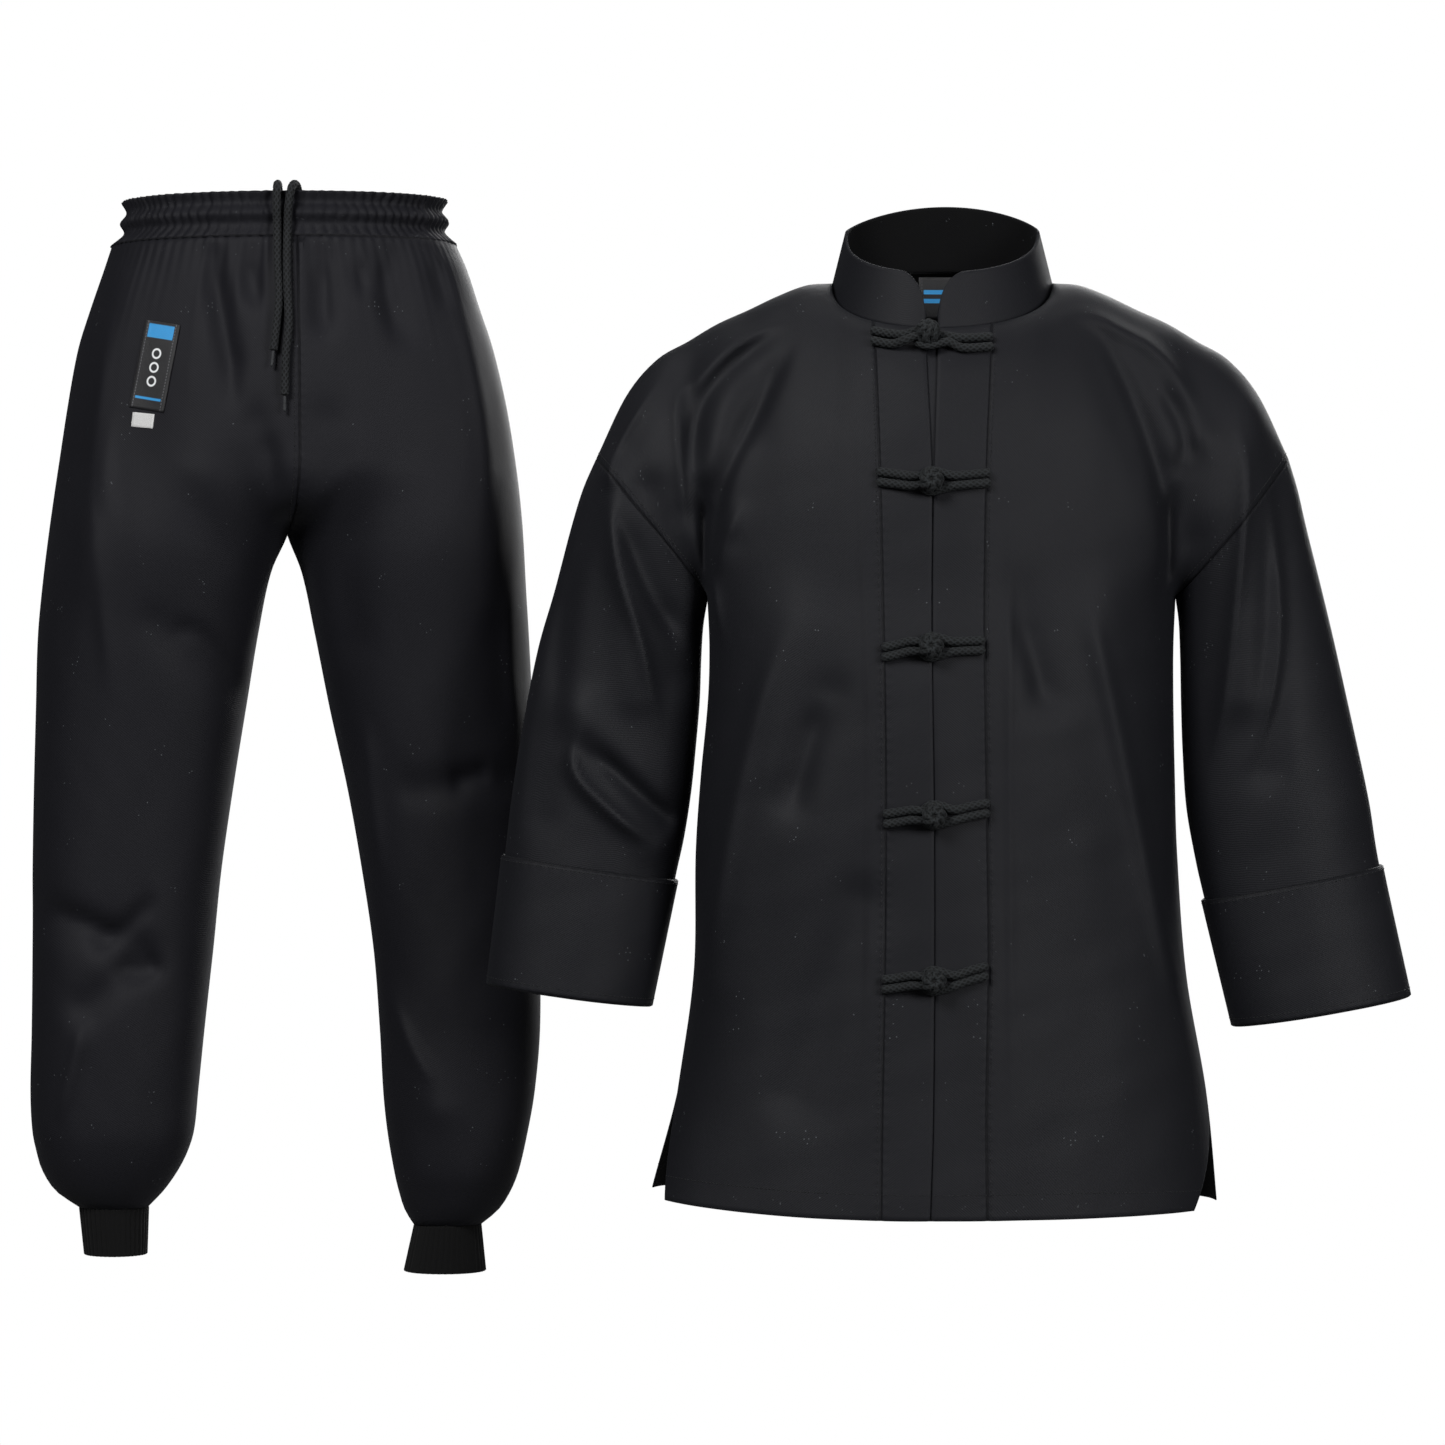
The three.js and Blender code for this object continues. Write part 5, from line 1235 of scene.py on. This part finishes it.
knotWrap = {
    "bights": 7, "leads": 4, "swing": 1.12, "radius": 1.95, "weave": 0.85, "weaveDepth": 0.7, "core": 6.8,
    "steps": 480, "ballRings": 12, "ballSides": 16, "ballGap": 0.3,
}
knotBraid = {"sides": 10, "strands": 3, "pitch": 3.0, "height": 0.28}


def knotParts(middle, beside, above, out):
    turn = np.linspace(0, fullTurn * knotWrap["leads"], knotWrap["steps"], endpoint=False)
    high = knotWrap["swing"] * np.sin(turn * knotWrap["bights"] / knotWrap["leads"])
    over = knotWrap["weave"] * np.sin(turn * 2 * knotWrap["bights"] / knotWrap["leads"])
    distance = knotWrap["core"] + over * knotWrap["weaveDepth"]
    local = np.stack([np.cos(high) * np.cos(turn), np.cos(high) * np.sin(turn), np.sin(high)], -1)
    local = local * distance[:, None]
    line = middle + local[:, :1] * beside + local[:, 1:2] * above + local[:, 2:] * out
    line = np.concatenate([line, line[:1]])
    spots = runLength(line)
    parts = [tubeMesh(line, spots, knotWrap["radius"], knotBraid, roundEnds=False)]
    rings = np.linspace(-quarterTurn, quarterTurn, knotWrap["ballRings"])
    latitude, longitude = np.meshgrid(rings, circle(knotWrap["ballSides"]), indexing="ij")
    ball = (knotWrap["core"] - knotWrap["ballGap"]) * point(
        np.cos(latitude) * np.cos(longitude), np.cos(latitude) * np.sin(longitude), np.sin(latitude))
    ball = middle + ball[..., :1] * beside + ball[..., 1:2] * above + ball[..., 2:] * out
    faces = ringFaces(knotWrap["ballRings"], knotWrap["ballSides"], ends=False)
    parts.append((ball.reshape(-1, 3), faces))
    return parts


for order in range(len(frogs["x"])):
    spot = {name: float(column[order]) for name, column in frogs.items()}
    out = onFront(spot["x"], spot["z"])[1]
    baseZ = spot["z"] - out[2] * (frog["knotHeight"] + spot["lift"])
    base = onFront(spot["x"], baseZ, spot["lift"])[0]
    beside = unit(np.array([1, 0, 0]) - out * out[0])
    above = -np.cross(beside, out)

    def onPlane(across, up, height):
        return base + beside * across + above * up + out * height

    parts = knotParts(onPlane(0, 0, frog["knotHeight"]), beside, above, out)
    for spread in (-frog["spread"], frog["spread"]):
        path = [
            onFront(spot["endRight"], baseZ + spot["tiltRight"] + spread, frog["height"])[0],
            onFront(spot["x"] - frog["runOut"], baseZ + spot["tiltRight"] / 2 + spread, frog["height"])[0],
        ]
        path += [onPlane(-away, spread * narrow, height) for away, height, narrow in frogRise]
        line, spots = evenly(path, frog["spacing"])
        radii = np.interp(spots / spots[-1], *frog["knotCord"])
        parts.append(tubeMesh(line, spots, radii, frogBraid))
    piece = makeBraid(f"frog_{order + 1}_knot_braid", parts)
    dress(piece, [f"frog_{order + 1}_knot"], frogYarn)

    def run(sign):
        spread = sign * frog["spread"]
        return [
            onFront(spot["endLeft"], baseZ + spot["tiltLeft"] + spread, frog["height"])[0],
            onFront(spot["x"] + frog["runOut"], baseZ + spot["tiltLeft"] / 2 + spread, frog["height"])[0],
            onPlane(frog["neckOut"], sign * frog["neckSpread"], frog["height"]),
        ]

    loop = []
    for degrees in loopDegrees:
        turn = math.radians(degrees)
        across, up = frog["loopRadius"] * math.cos(turn), frog["loopRadius"] * math.sin(turn)
        loop.append(onPlane(across, up, frog["loopHeight"]))
    line, spots = evenly(run(1) + loop + run(-1)[::-1], frog["spacing"])
    radii = np.interp(spots / spots[-1], *frog["loopCord"])
    piece = makeBraid(f"frog_{order + 1}_loop_braid", [tubeMesh(line, spots, radii, frogBraid)])
    dress(piece, [f"frog_{order + 1}_loop"], frogYarn)
print("frog fasteners made")


# Labels: their faces carry plain bars and rings only
blue = (0.03, 0.36, 0.8)
labelBlack = (0.0065, 0.0065, 0.0085)
ringWhite = (0.9, 0.91, 0.92)
labelThread = 0.0006


def labelMaterial(name, size, bars, ground, thread, rings=None):
    paint = Paint(name)
    uv = paint.uv()
    u, v = paint.split(uv)[:2]
    across = u / (size[0] * millimetre) + 0.5  # 0 to 1 across the label
    down = v / (-size[1] * millimetre)  # 0 at its top to 1 at its foot
    weave = (u * (fullTurn / labelThread)).wave() * (v * (fullTurn / labelThread)).wave()
    grain = paint.noise(uv, 1500, 2)
    colour = paint.blend(grain * 0.5 + weave * 0.3, shade(ground, 0.75), shade(ground, 1.3))
    inside = across.between(0.08, 0.1) * (1 - across.between(0.9, 0.92))
    for top, bottom, tint in bars:
        mask = down.between(top, top + 0.012) * (1 - down.between(bottom - 0.012, bottom)) * inside
        colour = paint.blend(mask, colour, paint.blend(grain, shade(tint, 0.8), tint))
    for middle, radius, tint in rings or ():
        away = (((across - 0.5) * size[0]) ** 2 + ((down - middle) * size[1]) ** 2) ** 0.5
        mask = (away - radius).size().between(0.9, 0.5)
        colour = paint.blend(mask, colour, tint)
    edge = (across - 0.5).size().between(0.43, 0.44) * (1 - (across - 0.5).size().between(0.455, 0.465))
    dash = (v / 0.0022).part().above(0.4)
    colour = paint.blend(edge * dash, colour, thread)
    paint.set(Base_Color=colour, Roughness=grain * 0.15 + 0.42)
    paint.shader.inputs["Sheen Weight"].default_value = 0.1
    paint.bump(weave * 0.3 + grain * 0.3, 0.0002, 0.6)
    return paint.material


trouserLabelLook = labelMaterial(
    "trouser_label_weave", (26, 63), [(0.02, 0.19, blue), (0.86, 0.9, blue)], labelBlack, (0.12, 0.12, 0.13),
    [(place, 3.2, ringWhite) for place in (0.36, 0.52, 0.68)])
neckLabelLook = labelMaterial(
    "neck_label_weave", (36, 28.5), [(0.3, 0.42, blue), (0.52, 0.64, blue)], labelBlack, (0.03, 0.03, 0.034))
sizeTabLook = labelMaterial("size_tab_weave", (16, 10), [], (0.78, 0.78, 0.77), (0.6, 0.6, 0.6))


def trouserPatch(node, slot, finish, patch):
    up = patch["height"] * (0.5 - np.linspace(0, 1, patch["rows"] + 1))[:, None]
    across = patch["width"] * (np.linspace(0, 1, patch["columns"] + 1) - 0.5)[None, :]
    x = patch["x"] + across * math.cos(patch["lean"]) + up * math.sin(patch["lean"])
    z = patch["z"] - across * math.sin(patch["lean"]) + up * math.cos(patch["lean"])
    grid = onTrousers(x, z, np.full(np.broadcast_shapes(x.shape, z.shape), patch["raised"]))[0]
    piece = wallMesh(f"{node}_woven", grid, point(trouser["x"], trouser["y"], patch["z"]), patch["wall"])
    dressSheet(piece, node, slot, finish, patch["cut"], "laid", "trouser_front_right_twill", patch["area"])


trouserLabel = {
    "x": -560, "z": -52.5, "width": 26, "height": 63, "lean": 0.185, "wall": 0.9, "raised": 1.3,
    "rows": 40, "columns": 18, "cut": (0.0287, 0.0633), "area": 0.0018,
}
sizeTab = {
    "x": -568.4, "z": -91.4, "width": 16, "height": 10, "lean": 0.12, "wall": 0.9, "raised": 1.3,
    "rows": 8, "columns": 12, "cut": (0.0173, 0.01), "area": 0.00017,
}
trouserPatch("trouser_label", "woven_label", trouserLabelLook, trouserLabel)
trouserPatch("size_tab", "size_tab", sizeTabLook, sizeTab)
neckLabel = {
    "x": 4, "y": 56, "top": 8.5, "bottom": -20, "width": 36, "bow": 1.4, "wall": 0.9,
    "rows": 20, "columns": 24, "cut": (0.036, 0.0285), "area": 0.00102,
}
across = np.linspace(-1, 1, neckLabel["columns"] + 1)[None, :]
z = np.linspace(neckLabel["top"], neckLabel["bottom"], neckLabel["rows"] + 1)[:, None]
y = neckLabel["y"] - neckLabel["bow"] * across**2
grid = point(neckLabel["x"] + neckLabel["width"] / 2 * across, y, z)
piece = wallMesh("neck_label_woven", grid, chest, neckLabel["wall"])
dressSheet(piece, "neck_label", "woven_label", neckLabelLook, neckLabel["cut"], "hung", "collar_band",
           neckLabel["area"])


# Trousers
leg = {
    "rows": 132, "columns": 100, "easedFrom": 0.82, "middleColumn": 30,
    "inside": {"right": (-575, 160, -300), "left": (-360, 160, -300)},
    "frontCut": {"right": (0.292, 0.799), "left": (0.288, 0.802)},
    "backCut": {"right": (0.302, 0.807), "left": (0.298, 0.811)},
}
legEdges = ("first", "last", "start", "end")
trouserFinish = ("trouser_cloth", trouserCloth)
for side in sides:
    bottom = legSections[side]["z"][-1]
    rows = np.linspace(trouser["top"], bottom, leg["rows"] + 1)
    inside = np.array(leg["inside"][side])
    across = np.linspace(0, 1, leg["columns"] + 1)
    for face, place in ((-1, "front"), (1, "back")):
        grid = trouserPoint(side, face, rows[:, None], across[None, :])
        near = np.exp(-(((rows - easing["crotchZ"]) / easing["crotchReach"]) ** 2))[:, None]
        near = near * smoothStep(1, leg["easedFrom"], across)
        grid = eased(grid, easing["crotchBlur"], near, leg["middleColumn"])
        name = f"trouser_{place}_{side}"
        piece = wallMesh(f"{name}_twill", grid, inside, cloth["wall"], edges=legEdges, seams=legEdges)
        dressSheet(piece, name, *trouserFinish, leg[f"{place}Cut"][side], "hung", "waistband_gathered")


waist = {
    "rows": 24, "perGather": 7, "seamGap": 0.15, "straighten": 12,
    "inside": (-472, 160, 50), "cut": (0.758, 0.04),
    "wobbles": [(0.13, 0.21, 9), (0.06, 0.4, 23)],  # size, waves down, waves round
}
turns = circle(gathers["count"] * waist["perGather"])[None, :]
z = np.linspace(waistRows["z"][0], waistRows["z"][-1] + waist["seamGap"], waist["rows"] + 1)[:, None]
grid = waistPoint(z, turns)
wobble = sum(size * np.sin(z * down + turns * count) for size, down, count in waist["wobbles"])
wobble = wobble * smoothStep(trouser["top"], trouser["top"] + waist["straighten"], z)
wave, number = gatherWave(turns + 0 * z, wobble)
height = read(waistRows, "z", z)["gather"] * gatherSwell[number] * wave
inside = np.array(waist["inside"])
normals = gridNormals(grid, True, inside)[0]
flatNormals = unit(normals * np.array([1, 1, 0]))
grid = grid + flatNormals * height[..., None]
piece = wallMesh("waistband_gathered", grid, inside, cloth["wall"], closed=True, seams=("last",))
dressSheet(piece, "waistband", *trouserFinish, waist["cut"], "gathered", "trouser_back_right_twill")


rib = {
    "count": 40, "height": 0.95, "perRib": 6, "rows": 24, "wall": 1.5, "insideZ": -690, "roundness": 0.7,
    "cut": {"right": (0.181, 0.034), "left": (0.193, 0.0345)},
}
for side in sides:
    rows = ankleRibs[side]
    z = np.linspace(rows["z"][0], rows["z"][-1], rib["rows"] + 1)[:, None]
    ring = read(rows, "z", z)
    turns = circle(rib["count"] * rib["perRib"])
    middle = (ring["outer"] + ring["inner"]) / 2
    half = (ring["inner"] - ring["outer"]) / 2
    swell = rib["height"] * np.abs(np.sin(rib["count"] / 2 * turns)) ** rib["roundness"]
    y = trouser["y"] + (ring["depth"] + swell) * np.sin(turns)
    grid = point(middle + (half + swell) * np.cos(turns), y, z)
    inside = np.array([float(middle[-1, 0]), trouser["y"], rib["insideZ"]])
    piece = wallMesh(f"ankle_rib_{side}_knit", grid, inside, rib["wall"], closed=True)
    dressSheet(piece, f"ankle_rib_{side}", "rib_knit", ribYarn, rib["cut"][side], "gathered",
               f"trouser_front_{side}_twill")
print("trousers made")


# Sewing: rows of stitches laid on the panels
stitch = {
    "length": 2.2, "pitch": 3.1, "radius": 0.3, "sides": 4,
    "places": [0, 0.18, 0.5, 0.82, 1], "sizes": [0.25, 0.9, 1, 0.9, 0.25],
    "heights": [-0.6, 0.25, 0.5, 0.25, -0.6],
}


def insetLine(name, edge, distance, start=0.0, end=1.0):
    grid = panels[name]["grid"]
    normals = panels[name]["normals"]
    if edge in ("first", "last"):
        grid, normals = grid.transpose(1, 0, 2), normals.transpose(1, 0, 2)
    if edge in ("end", "last"):
        grid, normals = grid[:, ::-1], normals[:, ::-1]
    away = lengths(grid, 1)
    line, outs = [], []
    for row in range(len(grid)):
        place = np.interp(distance, away[row], np.arange(grid.shape[1]))
        low = min(int(place), grid.shape[1] - 2)
        line.append(lerp(grid[row, low], grid[row, low + 1], place - low))
        outs.append(normals[row, low])
    line, outs = np.array(line), np.array(outs)
    count = len(line)
    keep = slice(int(start * (count - 1)), int(end * (count - 1)) + 1)
    return line[keep], outs[keep]


def stitchParts(line, outs):
    away = runLength(line)
    parts = []
    angle = circle(stitch["sides"])
    faces = ringFaces(len(stitch["places"]), stitch["sides"])
    for begin in np.arange(0, away[-1] - stitch["length"], stitch["pitch"]):
        places = begin + stitch["length"] * np.array(stitch["places"])
        middle = pointsAt(places, away, line)
        out = unit(pointsAt(begin, away, outs))
        run = unit(middle[-1] - middle[0])
        side = np.cross(run, out)
        size = stitch["radius"] * np.array(stitch["sizes"])
        middle = middle + out * (stitch["radius"] * np.array(stitch["heights"]))[:, None]
        ring = middle[:, None] + size[:, None, None] * (
            np.cos(angle)[None, :, None] * side + np.sin(angle)[None, :, None] * out)
        parts.append((ring.reshape(-1, 3), faces))
    return parts


jacketSeams = [
    ("jacket_front_right_twill", "end", 2.4, 0, 1), ("jacket_front_left_twill", "end", 2.2, 0, 1),
    ("jacket_front_right_twill", "start", 4, 0.7, 1), ("jacket_front_left_twill", "start", 4, 0.7, 1),
    ("jacket_back_twill", "start", 4, 0.7, 1), ("jacket_back_twill", "end", 4, 0.7, 1),
    ("jacket_front_right_twill", "first", 17, 0, 1), ("jacket_front_left_twill", "first", 17, 0, 1),
    ("front_band_right_twill", "first", 17, 0, 1), ("front_band_left_twill", "first", 17, 0, 1),
    ("jacket_back_twill", "first", 17, 0, 1),
    ("sleeve_cuff_right_twill", "first", 2.2, 0, 1), ("sleeve_cuff_left_twill", "first", 2.2, 0, 1),
    ("sleeve_cuff_right_twill", "last", 5, 0, 1), ("sleeve_cuff_left_twill", "last", 5, 0, 1),
]
trouserSeams = [
    ("trouser_front_right_twill", "end", 3.6, 0, 0.3), ("trouser_back_right_twill", "end", 3.6, 0, 0.3),
]


def sew(name, seams):
    parts = []
    for panel, edge, distance, start, end in seams:
        parts += stitchParts(*insetLine(panel, edge, distance, start, end))
    piece = makeBraid(name, parts)
    piece.data.materials.append(stitchYarn)
    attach(piece, "root")


sew("jacket_stitching", jacketSeams)
sew("trouser_stitching", trouserSeams)
print("sewing made")


# Studio: pale floor, white surround and soft lights
studio = {
    "floorZ": -0.95, "floorSize": 16, "surround": 0.035, "floorTone": 0.12,
    "lights": [
        {"name": "key", "place": (-1.7, -2.4, 1.5), "aim": (-0.1, 0, -0.3), "size": 1.2, "power": 72},
        {"name": "fill", "place": (1.9, -2.6, 0.5), "aim": (-0.1, 0, -0.35), "size": 1.2, "power": 54},
        {"name": "top", "place": (-0.1, 0.5, 2.2), "aim": (-0.1, 0, -0.2), "size": 1.6, "power": 12},
        {"name": "behind", "place": (0.8, 3.0, 1.0), "aim": (-0.1, 0, -0.3), "size": 2.0, "power": 110},
    ],
}


def makeStudio():
    bpy.ops.mesh.primitive_plane_add(size=studio["floorSize"], location=(0, 0, studio["floorZ"]))
    floor = bpy.context.object
    floor.name = "floor"
    paint = Paint("floor_paint")
    paint.set(Base_Color=(studio["floorTone"],) * 3, Roughness=0.9)
    pale = paint.node("ShaderNodeEmission", None, {"Color": (1, 1, 1), "Strength": 1.0})
    seen = paint.node("ShaderNodeLightPath", out="Is Camera Ray")
    mixed = paint.tree.nodes.new("ShaderNodeMixShader")
    paint.put(mixed.inputs[0], seen)
    paint.tree.links.new(paint.shader.outputs[0], mixed.inputs[1])
    paint.tree.links.new(pale.socket, mixed.inputs[2])
    paint.tree.links.new(mixed.outputs[0], paint.tree.nodes["Material Output"].inputs["Surface"])
    floor.data.materials.append(paint.material)
    for look in studio["lights"]:
        data = bpy.data.lights.new(look["name"], "AREA")
        data.size = look["size"]
        data.energy = look["power"]
        lamp = bpy.data.objects.new(look["name"], data)
        lamp.location = look["place"]
        away = np.array(look["place"]) - np.array(look["aim"])
        flat = math.hypot(away[0], away[1])
        lamp.rotation_euler = (math.atan2(flat, away[2]), 0, math.atan2(away[0], -away[1]))
        bpy.context.scene.collection.objects.link(lamp)
    world = bpy.data.worlds.new("surround")
    bpy.context.scene.world = world
    world.use_nodes = True
    tree = world.node_tree
    background = tree.nodes["Background"]
    ray = tree.nodes.new("ShaderNodeLightPath")
    strength = tree.nodes.new("ShaderNodeMapRange")
    strength.inputs["To Min"].default_value = studio["surround"]
    strength.inputs["To Max"].default_value = 1.0
    tree.links.new(ray.outputs["Is Camera Ray"], strength.inputs["Value"])
    tree.links.new(strength.outputs["Result"], background.inputs["Strength"])
    background.inputs["Color"].default_value = (1, 1, 1, 1)
    bpy.context.scene.view_settings.view_transform = "Standard"


makeStudio()
print("studio made")

shown = [piece for piece in bpy.context.scene.objects if piece.type == "MESH" and not piece.hide_render]
triangles = sum(len(face.vertices) - 2 for piece in shown for face in piece.data.polygons)
print("triangles shown", triangles)
